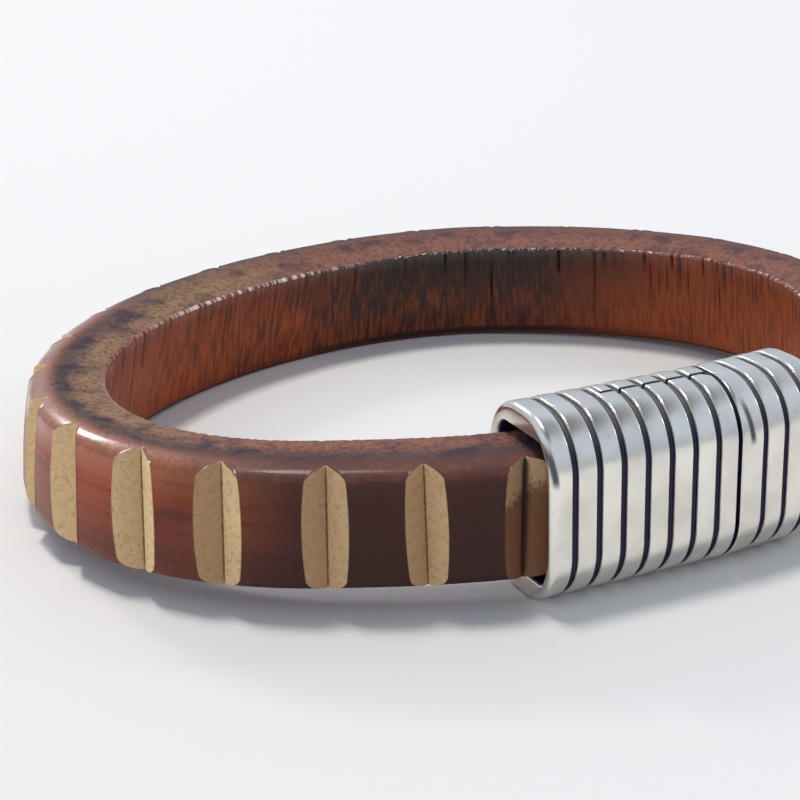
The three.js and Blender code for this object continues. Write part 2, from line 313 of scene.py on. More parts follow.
@dataclass(frozen=True)
class DyedLeather:
    """Dyed glossy leather with a rough trimmed top, a wrinkled wrist side and pale cuts."""

    face: Colour = tone(168, 74, 36)
    face_dark: Colour = tone(48, 26, 22)
    face_warm: Colour = tone(178, 86, 32)
    shoulder: Colour = tone(166, 90, 48)
    shoulder_dark: Colour = tone(92, 52, 42)
    top: Colour = tone(146, 96, 78)
    top_green: Colour = tone(156, 122, 88)
    top_ink: Colour = tone(66, 52, 58)
    wrist: Colour = tone(166, 76, 26)
    wrist_dark: Colour = tone(108, 50, 28)
    # Painted shade: colour of the wrist side's creases, its shaded middle and its foot, and of the crease in
    # the cut beside the socket
    wrist_shade: Colour = tone(40, 32, 30)
    # Painted highlight: colour of the glints on the folds at the wrist side's top edge
    edge_glint: Colour = tone(244, 226, 204)
    cut: Colour = tone(255, 222, 166)
    # Painted shade: the shaded facet of a cut; also the pale fibres in the top
    shaded_cut_and_fibre: Colour = tone(188, 150, 110)
    cut_fleck: Colour = tone(156, 112, 72)
    # Painted shade in the crease of a cut
    cut_crease_shade: Colour = tone(96, 62, 42)
    stain: Colour = tone(112, 60, 36)
    face_roughness: float = 0.34
    top_roughness: float = 0.8
    wrist_roughness: float = 0.42
    raw_roughness: float = 0.85
    coat_roughness: float = 0.16
    specular: float = 0.25
    relief: float = 1.0 * MM
    relief_share: float = 0.9
    stained_run: float = 7.6 * MM
    stain_edge: float = 0.4 * MM

    def material(self) -> bpy.types.Material:
        """Builds the material of the whole strap, whose sides are told apart by the mesh's numbers.

        Returns:
            The material.
        """
        s = Hide("strap_leather")
        around = s.around
        is_outer = (around + (s.blot - 0.5) * 0.2).rise(3.85, 4.08)
        is_face, is_under = around.rise(3.0, 3.1), around.rise(5.6, 6.2)
        is_top = s.ragged.rise(1.65, 2.05) * s.ragged.rise(3.4, 3.05)
        cut = s.attribute("cut") * (1 - s.far * around.rise(4.02, 3.85))
        nap = is_top.at_least(cut)

        colour = s.mix(is_outer, self._shoulder(s), self._face(s))
        colour = s.mix(is_face, self._wrist(s), colour)
        colour = s.mix(is_top, colour, self._top(s))
        colour = s.mix(is_under, colour, s.mix(s.blot.rise(0.4, 0.6), self.wrist_dark, self.shoulder_dark))
        colour = s.mix(cut, colour, self._cut(s))
        # Painted highlight: pale glints along the top edge of the far wrist side
        colour = s.mix(self._edge_glints(s), colour, self.edge_glint)

        shine = self.face_roughness + (s.speck - 0.5) * 0.15
        shine = shine + s.right * 0.2 + s.far * 0.3 * around.rise(4.2, 3.9)
        rough = self.wrist_roughness + (s.speck - 0.5) * 0.3 - around.rise(0.9, 1.2) * 0.2
        rough = s.blend(is_face, rough, shine)
        rough = s.blend(is_top, rough, self.top_roughness)
        rough = s.blend(is_under, rough, self.top_roughness)
        rough = s.blend(cut, rough, self.raw_roughness)

        fibre = s.noise(s.vector(s.along * 1000, around * 1.5), 5.0, 4)
        on_wrist = around.rise(1.6, 1.2)
        height = s.grain * (0.03 + nap * 0.12) + on_wrist * fibre * 0.1 + (1 - nap) * s.speck * 0.03
        glaze = (1 - nap) * (1 - is_under) * (0.12 + around.rise(3.2, 3.5) * around.rise(4.3, 4.0) * 0.8)
        glossy_edge = around.rise(0.85, 1.15) * around.rise(2.05, 1.8)
        return s.finish({
            "Base Color": colour,
            "Roughness": rough,
            "Coat Weight": (glaze * (1 - s.far) * (1 - s.right * 0.9)).at_least(glossy_edge),
            "Coat Roughness": self.coat_roughness,
            "Normal": s.bump(height, self.relief, self.relief_share),
            "Specular IOR Level": self.specular,
        })

    def _face(self, s: Hide) -> Signal:
        """Colour of the outer face: warm under the shoulder, darker below, with streaks along the strap.

        Args:
            s: the leather's tree.

        Returns:
            The colour.
        """
        streak = s.noise(s.vector(s.along * 110, s.around * 8), 1.0, 4)
        low = (s.around + (streak - 0.5) * 0.5).rise(4.1, 5.1)
        body = s.mix(low * 0.45, self.face, self.face_dark)
        body = s.mix(s.cloud.rise(0.42, 0.66) * 0.3, body, self.face_dark)
        body = s.mix(streak.rise(0.5, 0.7) * 0.4, body, self.face_dark)
        warm = (s.around + (streak - 0.5) * 0.4).rise(4.32, 3.98)
        body = s.mix(warm * 0.85, body, self.face_warm)
        body = s.mix(s.right * 0.92, body, self.face_dark)
        return s.mix(s.speck.rise(0.55, 0.75) * 0.35, body, self.face_dark)

    def _shoulder(self, s: Hide) -> Signal:
        """Colour of the soft shoulder: worn and warm, with ink beside the top and along the far side.

        Args:
            s: the leather's tree.

        Returns:
            The colour.
        """
        body = s.mix(s.speck.rise(0.4, 0.66) * 0.45, self.shoulder, self.shoulder_dark)
        body = s.mix(s.blot.rise(0.42, 0.62) * 0.35 + s.right * 0.85, body, self.shoulder_dark)
        body = s.mix(s.far * 0.8, body, self.top)
        ink = s.far * (s.around + (s.speck - 0.5) * 0.2).rise(3.05, 3.3) * 0.85
        return s.mix(ink.at_least(s.around.rise(3.3, 3.0) * 0.5), body, self.top_ink)

    def _top(self, s: Hide) -> Signal:
        """Colour of the trimmed top: greener on the left, with ink near its outer edge.

        Args:
            s: the leather's tree.

        Returns:
            The colour.
        """
        left = (s.x + (s.cloud - 0.5) * (20 * MM)).rise(-14 * MM, -28 * MM)
        body = s.mix(left * 0.8, self.top, self.top_green)
        body = s.mix(s.speck.rise(0.45, 0.66) * 0.55, body, self.top_ink)
        band = (s.ragged + (s.cloud - 0.5) * 0.8).rise(2.3, 3.0) * s.ragged.rise(3.5, 3.2)
        ink = band * (1 - s.far * 0.6) * 0.75 + s.blot.rise(0.48, 0.66) * 0.5
        body = s.mix(ink * (0.5 + s.grain), body, self.top_ink)
        return s.mix(s.grain.rise(0.58, 0.75) * 0.2, body, self.shaded_cut_and_fibre)

    def _wrist(self, s: Hide) -> Signal:
        """Colour of the wrinkled wrist side, with painted shade: dark in its creases and towards its top, a
        patch of painted shade between the left and the right, and a painted contact shadow along its foot
        there.

        Args:
            s: the leather's tree.

        Returns:
            The colour.
        """
        streak = s.noise(s.vector(s.along * 1000, s.around * 1.2), 2.6, 5)
        body = s.mix(streak.rise(0.4, 0.62) * 0.75, self.wrist, self.wrist_dark)
        # Painted shade: darker towards the top of the wrist side
        body = s.mix(s.around.rise(0.35, 0.9) * 0.25, body, self.wrist_dark)
        # Painted shade: a dark patch on the wrist side between the left and the right
        x = s.x + (s.haze - 0.5) * (14 * MM) + (streak - 0.5) * (20 * MM)
        middle = x.rise(-30 * MM, -4 * MM) * x.rise(26 * MM, 6 * MM)
        patch = (s.around * 0.4 + streak * 0.9 + (s.speck - 0.5) * 0.4).rise(0.2, 0.85)
        body = s.mix(middle * (0.35 + patch * 0.6), body, self.wrist_shade)
        # Painted contact shadow along the foot of the wrist side there
        body = s.mix(middle * s.around.rise(0.09, 0.03), body, self.wrist_shade)
        # Painted shade in the deeper wrinkles
        return s.mix(s.crease.rise(0.3, 0.85) * 0.8, body, self.wrist_shade)

    def _edge_glints(self, s: Hide) -> Signal:
        """Painted highlight: pale glints on the crests of the folds, along the upper edge of the far wrist
        side on the left.
        """
        crest = s.crease.rise(0.4, 0.1) * s.around.rise(1.2, 1.45) * s.around.rise(2.0, 1.85)
        return crest * s.x.rise(-35 * MM, -31 * MM) * s.x.rise(-8 * MM, -18 * MM) * s.far * 0.8

    def _cut(self, s: Hide) -> Signal:
        """Colour of the raw leather in the cuts: painted shade on the facet away from the socket, weaker on
        the left and stronger beside the clasp, and along each crease; stained beside the socket, where the
        crease takes a darker painted shade.

        Args:
            s: the leather's tree.

        Returns:
            The colour.
        """
        # Painted shade on the facet away from the socket, weaker on the left where the light is stronger, and
        # stronger beside the clasp
        sunny = s.x.rise(-20 * MM, -30 * MM)
        facet_shade = s.facet.rise(-0.04, 0.06) * (1 - sunny * 0.6) + s.right * s.right * 0.6
        raw = s.mix(facet_shade, self.cut, self.shaded_cut_and_fibre)
        raw = s.mix((s.speck + s.grain - 0.5).rise(0.45, 0.8) * 0.45, raw, self.cut_fleck)
        # Painted shade along the crease at the bottom of each cut
        raw = s.mix((abs(s.facet) + (s.speck - 0.5) * 0.12).rise(0.07, 0.02) * 0.8, raw, self.cut_crease_shade)
        low = (s.around + (s.speck - 0.5) * 0.3 - s.facet.at_most(1.0) * 0.12).rise(4.1, 4.3)
        near = s.along.rise(self.stained_run, self.stained_run - self.stain_edge)
        raw = s.mix(near * (0.2 + low * 0.65), raw, self.stain)
        # Painted shade: a darker, wider crease in the cut beside the socket
        return s.mix(near * abs(s.facet).rise(0.2, 0.06) * 0.9, raw, self.wrist_shade)


@dataclass(frozen=True)
class RibReflection:
    """Painted dark reflection along a rib: its running place, and the heights between which it lies, in
    metres.
    """

    run: float
    low: float
    high: float


@dataclass(frozen=True)
class AntiqueSilver:
    """Polished silver plate with black left in the grooves, paler in the grooves near the top, with painted
    shade in the pocket, at the split and on the lap joint, and two painted dark reflections on ribs.
    """

    bright: Colour = tone(240, 236, 226)
    worn: Colour = tone(222, 218, 208)
    black: Colour = tone(24, 22, 54)
    upper_groove: Colour = tone(122, 114, 106)
    polish: float = 0.17
    groove_roughness: float = 0.5
    relief: float = 0.025 * MM
    relief_share: float = 0.5
    upper_groove_height: tuple[float, float] = (12.2 * MM, 14.8 * MM)
    rib_reflections: tuple[RibReflection, ...] = (
        RibReflection(-15.95 * MM, 10.4 * MM, 14.2 * MM),
        RibReflection(1.2 * MM, 10.6 * MM, 14.8 * MM),
    )
    reflection_half: float = 0.36 * MM
    reflection_core: float = 0.1 * MM
    reflection_slant: float = 0.12
    reflection_fade: tuple[float, float] = (0.9 * MM, 1.4 * MM)

    def material(self) -> bpy.types.Material:
        """Builds the material of both clasp halves.

        Returns:
            The material.
        """
        s = Surface("clasp_silver")
        place = s.place()
        # Black in the grooves is the plate's own finish; the shade number adds painted shade in the pocket,
        # at the split and on the lap joint
        depth = s.attribute("groove").at_least(s.attribute("shade"))
        rub, cloud = s.noise(place, 1400, 4), s.noise(place, 260, 3)
        dark = (depth + (rub - 0.5) * 0.35).rise(0.3, 0.6)
        # Painted dark reflections on two ribs
        for reflected in self.rib_reflections:
            dark = dark.at_least(self._rib_reflection(s, place, reflected))
        metal = s.mix(cloud.rise(0.35, 0.7), self.bright, self.worn)
        metal = s.mix(rub.rise(0.66, 0.8) * 0.25, metal, self.black)
        # The grooves are paler towards the top
        groove = s.mix(s.split(place, "Z").rise(*self.upper_groove_height) * 0.6, self.black, self.upper_groove)
        return s.finish({
            "Base Color": s.mix(dark, metal, groove),
            "Metallic": s.blend(dark, 1.0, 0.2),
            "Roughness": s.blend(dark, self.polish + cloud * 0.12, self.groove_roughness),
            "Normal": s.bump(rub * 0.5 + cloud, self.relief, self.relief_share),
        })

    def _rib_reflection(self, s: Surface, place: Signal, reflected: RibReflection) -> Signal:
        """Darkness of a painted dark reflection, on the outer side of the clasp alone.

        Args:
            s: the silver's tree.
            place: the place on the object.
            reflected: where the painted dark reflection lies.

        Returns:
            How dark each place is, from 0 to 1.
        """
        height = s.split(place, "Z")
        slanted = s.attribute("run") - reflected.run + (height - reflected.low) * self.reflection_slant
        across = abs(slanted).rise(self.reflection_half, self.reflection_core)
        below, above = self.reflection_fade
        ends = height.rise(reflected.low, reflected.low + below) * height.rise(reflected.high, reflected.high - above)
        outer = (s.split(place, "Y") + s.split(place, "X") * -0.5).rise(-29 * MM, -31 * MM)
        return across * ends * outer * 0.9


@dataclass(frozen=True)
class StrapSizes:
    """Section of the strap, and the V cuts across its outer face."""

    width: float = 10 * MM
    thick: float = 6.4 * MM
    shoulder_tall: float = 1.3 * MM
    shoulder_deep: float = 2.8 * MM
    lower_round: float = 1.1 * MM
    wrist_round: float = 0.5 * MM
    crown: float = 0.15 * MM
    cut_depth: float = 1.4 * MM
    cut_width: float = 3.2 * MM
    cut_pitch: float = 7.5 * MM
    cut_end_margin: float = 2.5 * MM

    @property
    def out(self) -> float:
        """How far the outer face stands from the middle line."""
        return self.thick / 2 + self.crown


@dataclass(frozen=True)
class ClaspSizes:
    """Section, ribs and lap joint of the clasp."""

    strap: StrapSizes = StrapSizes()
    front_wall: float = 1.1 * MM
    wrist_wall: float = 2.0 * MM
    lower_wall: float = 2.1 * MM
    upper_wall: float = 1.9 * MM
    corner: float = 4.5 * MM
    pocket_depth: float = 5.5 * MM
    pocket_round: float = 1.8 * MM
    gap_side: float = 0.3 * MM
    gap_under: float = 0.4 * MM
    gap_over: float = 0.9 * MM
    gap_end: float = 0.4 * MM
    rib_pitch: float = 2.1 * MM
    groove_width: float = 0.5 * MM
    groove_depth: float = 0.35 * MM
    end_rib: float = 2.1 * MM
    lip_rib: float = 1.75 * MM
    shoulder_rib: float = 2.3 * MM
    socket_grooves: int = 7
    tongue_grooves: int = 3
    tongue_length: float = 9.3 * MM
    tongue_thick: float = 5.5 * MM
    lap_gap: float = 0.3 * MM
    shell_nick: float = 0.7 * MM
    rim: float = 0.6 * MM
    lip: float = 0.35 * MM
    bend: float = 5.1

    @property
    def front(self) -> float:
        """Outer side of the clasp."""
        return self.strap.out + self.gap_side + self.front_wall

    @property
    def back(self) -> float:
        """Wrist side of the clasp."""
        return -(self.strap.thick / 2 + self.gap_side + self.wrist_wall)

    @property
    def low(self) -> float:
        """Lower side of the clasp."""
        return -(self.strap.width / 2 + self.gap_under + self.lower_wall)

    @property
    def high(self) -> float:
        """Upper side of the clasp."""
        return self.strap.width / 2 + self.gap_over + self.upper_wall

    @property
    def lap_plane(self) -> float:
        """Plane where the shell ends and the tongue begins."""
        return self.back + self.tongue_thick

    @property
    def socket_length(self) -> float:
        """Length of the socket half."""
        return self.end_rib + (self.socket_grooves - 1) * self.rib_pitch + self.lip_rib

    @property
    def tongue_body(self) -> float:
        """Length of the tongue half's body."""
        return self.shoulder_rib + (self.tongue_grooves - 1) * self.rib_pitch + self.end_rib


@dataclass(frozen=True)
class Turn:
    """Turning point of the strap: shares of the loop's half sizes, heading in degrees, reaches as shares."""

    along: float
    across: float
    heading: float
    reach_in: float
    reach_out: float


@dataclass
class Loop:
    """The flat loop that the strap and the clasp follow, and how it lies on the floor.

    Attributes:
        strap: sizes of the strap.
        clasp: sizes of the clasp.
        length: size of the middle line from left to right.
        depth: size of the middle line from near to far.
        far_lean: outward lean of the strap's far side, in degrees.
        split: where the halves of the clasp meet, as shares of the half sizes.
        socket_heading: heading of the socket half, in degrees.
        turn_at_socket: bend of the strap where it leaves the socket, in degrees.
        turn_at_tongue: bend of the strap where it enters the tongue half, in degrees.
        mouth_reach: reaches of the curve at the two mouths, as shares.
        turns: the turning points between the mouths.
        stretch_steps: points on each stretch of the middle line.
        tangent_step: half of the length over which a heading is taken.
        most_tilt: largest tilt that is tried, in radians.
        halvings: how many times the range of tilts is halved.
    """

    strap: StrapSizes = field(default_factory=StrapSizes)
    clasp: ClaspSizes = field(default_factory=ClaspSizes)
    length: float = 68.5 * MM
    depth: float = 61 * MM
    far_lean: float = 15.0
    split: tuple[float, float] = (0.54, -0.715)
    socket_heading: float = 26.4
    turn_at_socket: float = 12.0
    turn_at_tongue: float = 6.0
    mouth_reach: tuple[float, float] = (0.35, 0.43)
    turns: tuple[Turn, ...] = (
        Turn(-0.33, -1.0, 180, 0.35, 0.58),
        Turn(-1.0, -0.25, 90, 0.59, 0.53),
        Turn(0.08, 1.0, 0, 0.45, 0.64),
        Turn(1.0, 0.13, -90, 0.64, 0.48),
    )
    stretch_steps: int = 400
    tangent_step: float = 0.3 * MM
    most_tilt: float = 0.26
    halvings: int = 30

    def __post_init__(self) -> None:
        """Works out the middle line of the strap and its running length."""
        clasp = self.clasp
        self.split_point = self._place(*self.split)
        self.socket_axis = direction(self.socket_heading)
        self.tongue_axis = direction(self.socket_heading + clasp.bend)
        self.socket_mouth = self.split_point - self.socket_axis * clasp.socket_length
        self.tongue_mouth = self.split_point + self.tongue_axis * clasp.tongue_body
        self.held = clasp.pocket_depth - clasp.gap_end
        self.points = self._line()
        steps = np.linalg.norm(np.diff(self.points, axis=0), axis=1)
        self.run = np.concatenate([[0.0], np.cumsum(steps)])

    def _place(self, along: float, across: float) -> np.ndarray:
        """Place on the flat loop from shares of its half sizes."""
        return np.array([along * self.length / 2, across * self.depth / 2, 0.0])

    def _line(self) -> np.ndarray:
        """Works out the middle line, from inside the socket round to inside the tongue half.

        Returns:
            Its dense points.
        """
        leave = direction(self.socket_heading + 180 - self.turn_at_socket)
        arrive = direction(self.socket_heading + self.clasp.bend + self.turn_at_tongue - 180)
        stops = [(self.socket_mouth, leave, 0.0, self.mouth_reach[0])]
        for turn in self.turns:
            place = self._place(turn.along, turn.across)
            stops.append((place, direction(turn.heading), turn.reach_in, turn.reach_out))
        stops.append((self.tongue_mouth, arrive, self.mouth_reach[1], 0.0))
        parts = [(self.socket_mouth + self.socket_axis * self.held)[None]]
        share = np.linspace(0, 1, self.stretch_steps + 1)[:-1, None]
        for (a, heading_a, _, out), (b, heading_b, into, _) in zip(stops, stops[1:]):
            first = a + heading_a * out * (b - a).dot(heading_a)
            second = b - heading_b * into * (b - a).dot(heading_b)
            rest = 1 - share
            inner = rest * first + share * second
            parts.append(rest**3 * a + 3 * rest * share * inner + share**3 * b)
        parts.append(self.tongue_mouth[None])
        parts.append((self.tongue_mouth - self.tongue_axis * self.held)[None])
        return np.concatenate(parts)

    @property
    def line_length(self) -> float:
        """Length of the middle line."""
        return float(self.run[-1])

    def _point(self, run: np.ndarray) -> np.ndarray:
        """Places on the middle line at running lengths."""
        return np.stack([np.interp(run, self.run, self.points[:, k]) for k in range(3)], axis=-1)

    def bend_round(self, down: np.ndarray, outward: np.ndarray, run: np.ndarray) -> np.ndarray:
        """Bends points of the straight strap round the loop, leaning as the band leans.

        Args:
            down: distances below the middle line.
            outward: distances away from the wrist.
            run: running lengths along the middle line.

        Returns:
            Points of the flat loop, one row of three for each.
        """
        ahead = self._point(np.minimum(run + self.tangent_step, self.line_length))
        behind = self._point(np.maximum(run - self.tangent_step, 0.0))
        along = ahead - behind
        along /= np.linalg.norm(along, axis=-1, keepdims=True)
        out = np.stack([-along[..., 1], along[..., 0], np.zeros_like(run)], axis=-1)
        up = np.array([0.0, 0.0, 1.0])
        lean = math.radians(self.far_lean) * np.sin(math.pi * run / self.line_length) ** 2
        cos, sin = np.cos(lean)[..., None], np.sin(lean)[..., None]
        leaning_out = out * cos + up * sin
        leaning_down = out * sin - up * cos
        return self._point(run) + down[..., None] * leaning_down + outward[..., None] * leaning_out

    def clasp_to_loop(self, points: np.ndarray) -> np.ndarray:
        """Takes points from the clasp's frame, +X up, +Y outward and +Z along, to the flat loop."""
        basis = np.array([[0.0, 0.0, 1.0], direction(self.socket_heading - 90), self.socket_axis])
        return self.split_point + points @ basis

    def lie_down(self, strap: np.ndarray, clasp: np.ndarray) -> Matrix:
        """Finds how the loop lies: tipped until the clasp and the strap's far side both touch the floor.

        Args:
            strap: points of the strap on the flat loop.
            clasp: points of both clasp halves on the flat loop.

        Returns:
            The matrix from the flat loop to the floor, with the middle of the part at the origin.
        """
        axis = Vector(self.tongue_mouth - self.socket_mouth).normalized()
        less, more = 0.0, self.most_tilt
        for _ in range(self.halvings):
            tilt = (less + more) / 2
            up = np.array(Matrix.Rotation(-tilt, 3, axis))[2]
            if (clasp @ up).min() < (strap @ up).min():
                less = tilt
            else:
                more = tilt
        turn = Matrix.Rotation(-less, 4, axis)
        turned = np.concatenate([strap, clasp]) @ np.array(turn.to_3x3()).T
        low, high = turned.min(axis=0), turned.max(axis=0)
        shift = Vector((-(low[0] + high[0]) / 2, -(low[1] + high[1]) / 2, -low[2]))
        return Matrix.Translation(shift) @ turn


@dataclass
class Skin:
    """A closed mesh in the making: points, faces and the numbers that its material reads."""

    points: np.ndarray
    faces: list[list[int]]
    numbers: dict[str, np.ndarray] = field(default_factory=dict)
    corner_numbers: dict[str, np.ndarray] = field(default_factory=dict)

    def outward(self) -> "Skin":
        """Turns every face round where the mesh is inside out.

        Returns:
            The same skin.
        """
        fans = [(f[0], f[i], f[i + 1]) for f in self.faces for i in range(1, len(f) - 1)]
        a, b, c = (self.points[[fan[k] for fan in fans]] for k in range(3))
        if np.einsum("ij,ij->", a, np.cross(b, c)) < 0:
            self.faces = [face[::-1] for face in self.faces]
            ends = np.cumsum([len(face) for face in self.faces])
            for name, values in self.corner_numbers.items():
                parts = np.split(values, ends[:-1])
                self.corner_numbers[name] = np.concatenate([part[::-1] for part in parts])
        return self

    def object(self, name: str, place: Matrix, sharp: float) -> bpy.types.Object:
        """Makes the Blender object.

        Args:
            name: its name.
            place: the matrix from the flat loop to the floor.
            sharp: angle in degrees over which an edge stays sharp.

        Returns:
            The object, linked to the scene, with its place in its mesh.
        """
        mesh = bpy.data.meshes.new(name)
        mesh.from_pydata(self.points.tolist(), [], self.faces)
        for domain, numbers in (("POINT", self.numbers), ("CORNER", self.corner_numbers)):
            for key, values in numbers.items():
                kept = mesh.attributes.new(key, "FLOAT", domain)
                kept.data.foreach_set("value", values.astype(np.float32))
        mesh.transform(place)
        mesh.shade_smooth()
        mesh.set_sharp_from_angle(angle=math.radians(sharp))
        made = bpy.data.objects.new(name, mesh)
        bpy.context.scene.collection.objects.link(made)
        return made


class Zone(Enum):
    """Stretches of the strap's outline, in order round it from the foot of the wrist side."""

    WRIST = 0
    WRIST_TOP_EDGE = 1
    TOP = 2
    SHOULDER = 3
    OUTER = 4
    LOWER_EDGE = 5
    BOTTOM = 6
    WRIST_LOW_EDGE = 7


@dataclass(frozen=True)
class Cut:
    """One V cut: place on the middle line, widths and depth in metres, and lean of its crease."""

    run: float
    wide: float
    depth: float
    slant: float


@dataclass(frozen=True)
class Creases:
    """One family of fine creases.

    Attributes:
        spacing: mean distance from one to the next, in metres.
        widths: narrowest and widest, in metres.
        depths: shallowest and deepest, in metres.
        shortest: how far the shortest reaches down the side, as a share.
    """

    spacing: float
    widths: tuple[float, float]
    depths: tuple[float, float]
    shortest: float


@dataclass
class Strap:
    """The leather strap, with its cuts, wrinkles and rough top.

    Attributes:
        loop: the loop that it follows.
        finish: its leather.
        fineness: number of points on each stretch of its outline.
        hand_cuts: near cuts, as their places in pitches past the socket's mouth and their widths as shares.
        facet_steps: columns across a cut, as shares of its half width.
        column: width of a column between the cuts.
        lip: width of the column beside a cut.
        seed: seed of the cuts and the wrinkles.
        fold_widths: narrowest and widest fold between two wrinkles.
        fold_depths: shallowest and deepest wrinkle between two folds.
        creases: the families of fine creases.
        crease_half: how far from its middle a fine crease is worked out.
        deepest: depth that no wrinkle passes.
        full_crease: depth at which a wrinkle takes its full painted shade.
        calm_run: where the wrinkles beside the socket grow to their full depth.
        calm_share: share of their depth before that.
        nap: rough relief of the top, and its depth.
        dent: shallow dents of the outer face, and their depth.
        wave: long waves of the outer face, and their depth.
        sharp: angle in degrees over which an edge stays sharp.
    """

    loop: Loop
    finish: DyedLeather = DyedLeather()
    fineness: dict[Zone, int] = field(default_factory=lambda: {
        Zone.WRIST: 30, Zone.WRIST_TOP_EDGE: 6, Zone.TOP: 13, Zone.SHOULDER: 16,
        Zone.OUTER: 20, Zone.LOWER_EDGE: 7, Zone.BOTTOM: 9, Zone.WRIST_LOW_EDGE: 5,
    })
    hand_cuts: tuple[tuple[float, float], ...] = (
        (0.05, 1.0), (0.99, 0.92), (1.95, 1.02), (2.93, 1.02), (3.78, 1.08), (4.73, 1.05), (5.6, 1.0),
    )
    facet_steps: tuple[float, ...] = (-1, -0.8, -0.6, -0.4, -0.2, -0.06, 0, 0.06, 0.2, 0.4, 0.6, 0.8, 1)
    column: float = 0.22 * MM
    lip: float = 0.07 * MM
    seed: int = 7
    fold_widths: tuple[float, float] = (0.7 * MM, 1.5 * MM)
    fold_depths: tuple[float, float] = (0.06 * MM, 0.26 * MM)
    creases: tuple[Creases, ...] = (
        Creases(0.45 * MM, (0.05 * MM, 0.09 * MM), (0.03 * MM, 0.12 * MM), 0.2),
        Creases(1.6 * MM, (0.07 * MM, 0.12 * MM), (0.1 * MM, 0.26 * MM), 0.3),
    )
    crease_half: float = 1.5 * MM
    deepest: float = 0.38 * MM
    full_crease: float = 0.3 * MM
    calm_run: tuple[float, float] = (46 * MM, 60 * MM)
    calm_share: float = 0.2
    nap: tuple[Relief, float] = (Relief(0.45 * MM, 0.45 * MM, 3), 0.05 * MM)
    dent: tuple[Relief, float] = (Relief(3.5 * MM, 3.0 * MM, 4), 0.03 * MM)
    wave: tuple[Relief, float] = (Relief(9 * MM, 6 * MM, 5), 0.02 * MM)
    sharp: float = 70.0

    def __post_init__(self) -> None:
        """Works out the outline and the cuts."""
        self.sizes = self.loop.strap
        self.down, self.out, self.around = self._outline()
        self.cuts = self._cuts()

    def _outline(self) -> tuple[np.ndarray, np.ndarray, np.ndarray]:
        """Works out the outline.

        Returns:
            Its distances down and outward, and how far round it each point is, in zones.
        """
        z = self.sizes
        half, wrist, front = z.width / 2, -z.thick / 2, z.thick / 2
        corner, low = z.wrist_round, z.lower_round
        tall, deep = z.shoulder_tall, z.shoulder_deep
        shapes = {
            Zone.WRIST: lambda t, c, s: (half - corner - t * (z.width - 2 * corner), wrist + 0 * t),
            Zone.WRIST_TOP_EDGE: lambda t, c, s: (corner - half - corner * s, wrist + corner - corner * c),
            Zone.TOP: lambda t, c, s: (-half + 0 * t, wrist + corner + t * (z.thick - deep - corner)),
            Zone.SHOULDER: lambda t, c, s: (tall - half - tall * c, front - deep + deep * s),
            Zone.OUTER: lambda t, c, s: (
                (1 - t) ** 2 * (tall - half) + t**2 * (half - low), front + 4 * t * (1 - t) * z.crown),
            Zone.LOWER_EDGE: lambda t, c, s: (half - low + low * s, front - low + low * c),
            Zone.BOTTOM: lambda t, c, s: (half + 0 * t, front - low - t * (z.thick - low - corner)),
            Zone.WRIST_LOW_EDGE: lambda t, c, s: (half - corner + corner * c, wrist + corner - corner * s),
        }
        downs, outs, rounds = [], [], []
        for zone, shape in shapes.items():
            share = np.arange(self.fineness[zone]) / self.fineness[zone]
            down, out = shape(share, np.cos(share * math.pi / 2), np.sin(share * math.pi / 2))
            downs.append(down)
            outs.append(out)
            rounds.append(zone.value + share)
        return np.concatenate(downs), np.concatenate(outs), np.concatenate(rounds)

    def _cuts(self) -> list[Cut]:
        """Places the listed cuts of the near side, then even ones as far as the tongue half.

        Returns:
            The cuts in order.
        """
        z, rng = self.sizes, np.random.default_rng(self.seed)
        places = [(self.loop.held + at * z.cut_pitch, wide) for at, wide in self.hand_cuts]
        last = self.loop.line_length - self.loop.held - z.cut_end_margin
        while places[-1][0] + z.cut_pitch < last:
            places.append((places[-1][0] + z.cut_pitch, 1.0))
        return [
            Cut(run, wide * z.cut_width, z.cut_depth * rng.uniform(0.93, 1.0), rng.uniform(-0.025, 0.025))
            for run, wide in places
        ]

    def _columns(self) -> tuple[np.ndarray, np.ndarray, np.ndarray]:
        """Places the columns of points along the strap, close together in the cuts.

        Returns:
            Running length, share of a cut and cut mask of each point, a row for each outline point.
        """
        z = self.sizes
        runs, facets, masks = [], [], []
        edge = np.zeros_like(self.down)
        for cut in self.cuts + [None]:
            if cut is None:
                half, middle = np.zeros_like(edge), np.full_like(edge, self.loop.line_length)
            else:
                open_half = np.maximum(self.out - (z.out - cut.depth), 0) * (cut.wide / 2) / cut.depth
                half = np.maximum(open_half, self._relaxed(cut, open_half))
                middle = cut.run + cut.slant * self.down
            gap = middle - half - self.lip - edge
            count = max(2, round(float(np.median(gap)) / self.column))
            shares = np.arange(count) / count
            runs.append(edge[:, None] + gap[:, None] * shares)
            facets.append(np.zeros_like(runs[-1]) + 2)
            masks.append(np.zeros_like(runs[-1]))
            if cut is None:
                break
            lips = [(-1.0, -self.lip)] + [(share, 0.0) for share in self.facet_steps] + [(1.0, self.lip)]
            offsets = np.stack([half * share + extra for share, extra in lips], axis=1)
            is_open = (open_half > 0)[:, None]
            within = np.array([0.0] + [1.0] * len(self.facet_steps) + [0.0])
            runs.append(middle[:, None] + offsets)
            facets.append(np.tile(np.array([share for share, _ in lips]), (len(half), 1)))
            masks.append(is_open * within)
            edge = middle + half + self.lip
            # The last lip column is also where the next gap begins
            runs[-1], facets[-1], masks[-1] = runs[-1][:, :-1], facets[-1][:, :-1], masks[-1][:, :-1]
        runs.append(np.full((len(edge), 1), self.loop.line_length))
        facets.append(np.full((len(edge), 1), 2.0))
        masks.append(np.zeros((len(edge), 1)))
        return np.hstack(runs), np.hstack(facets), np.hstack(masks)

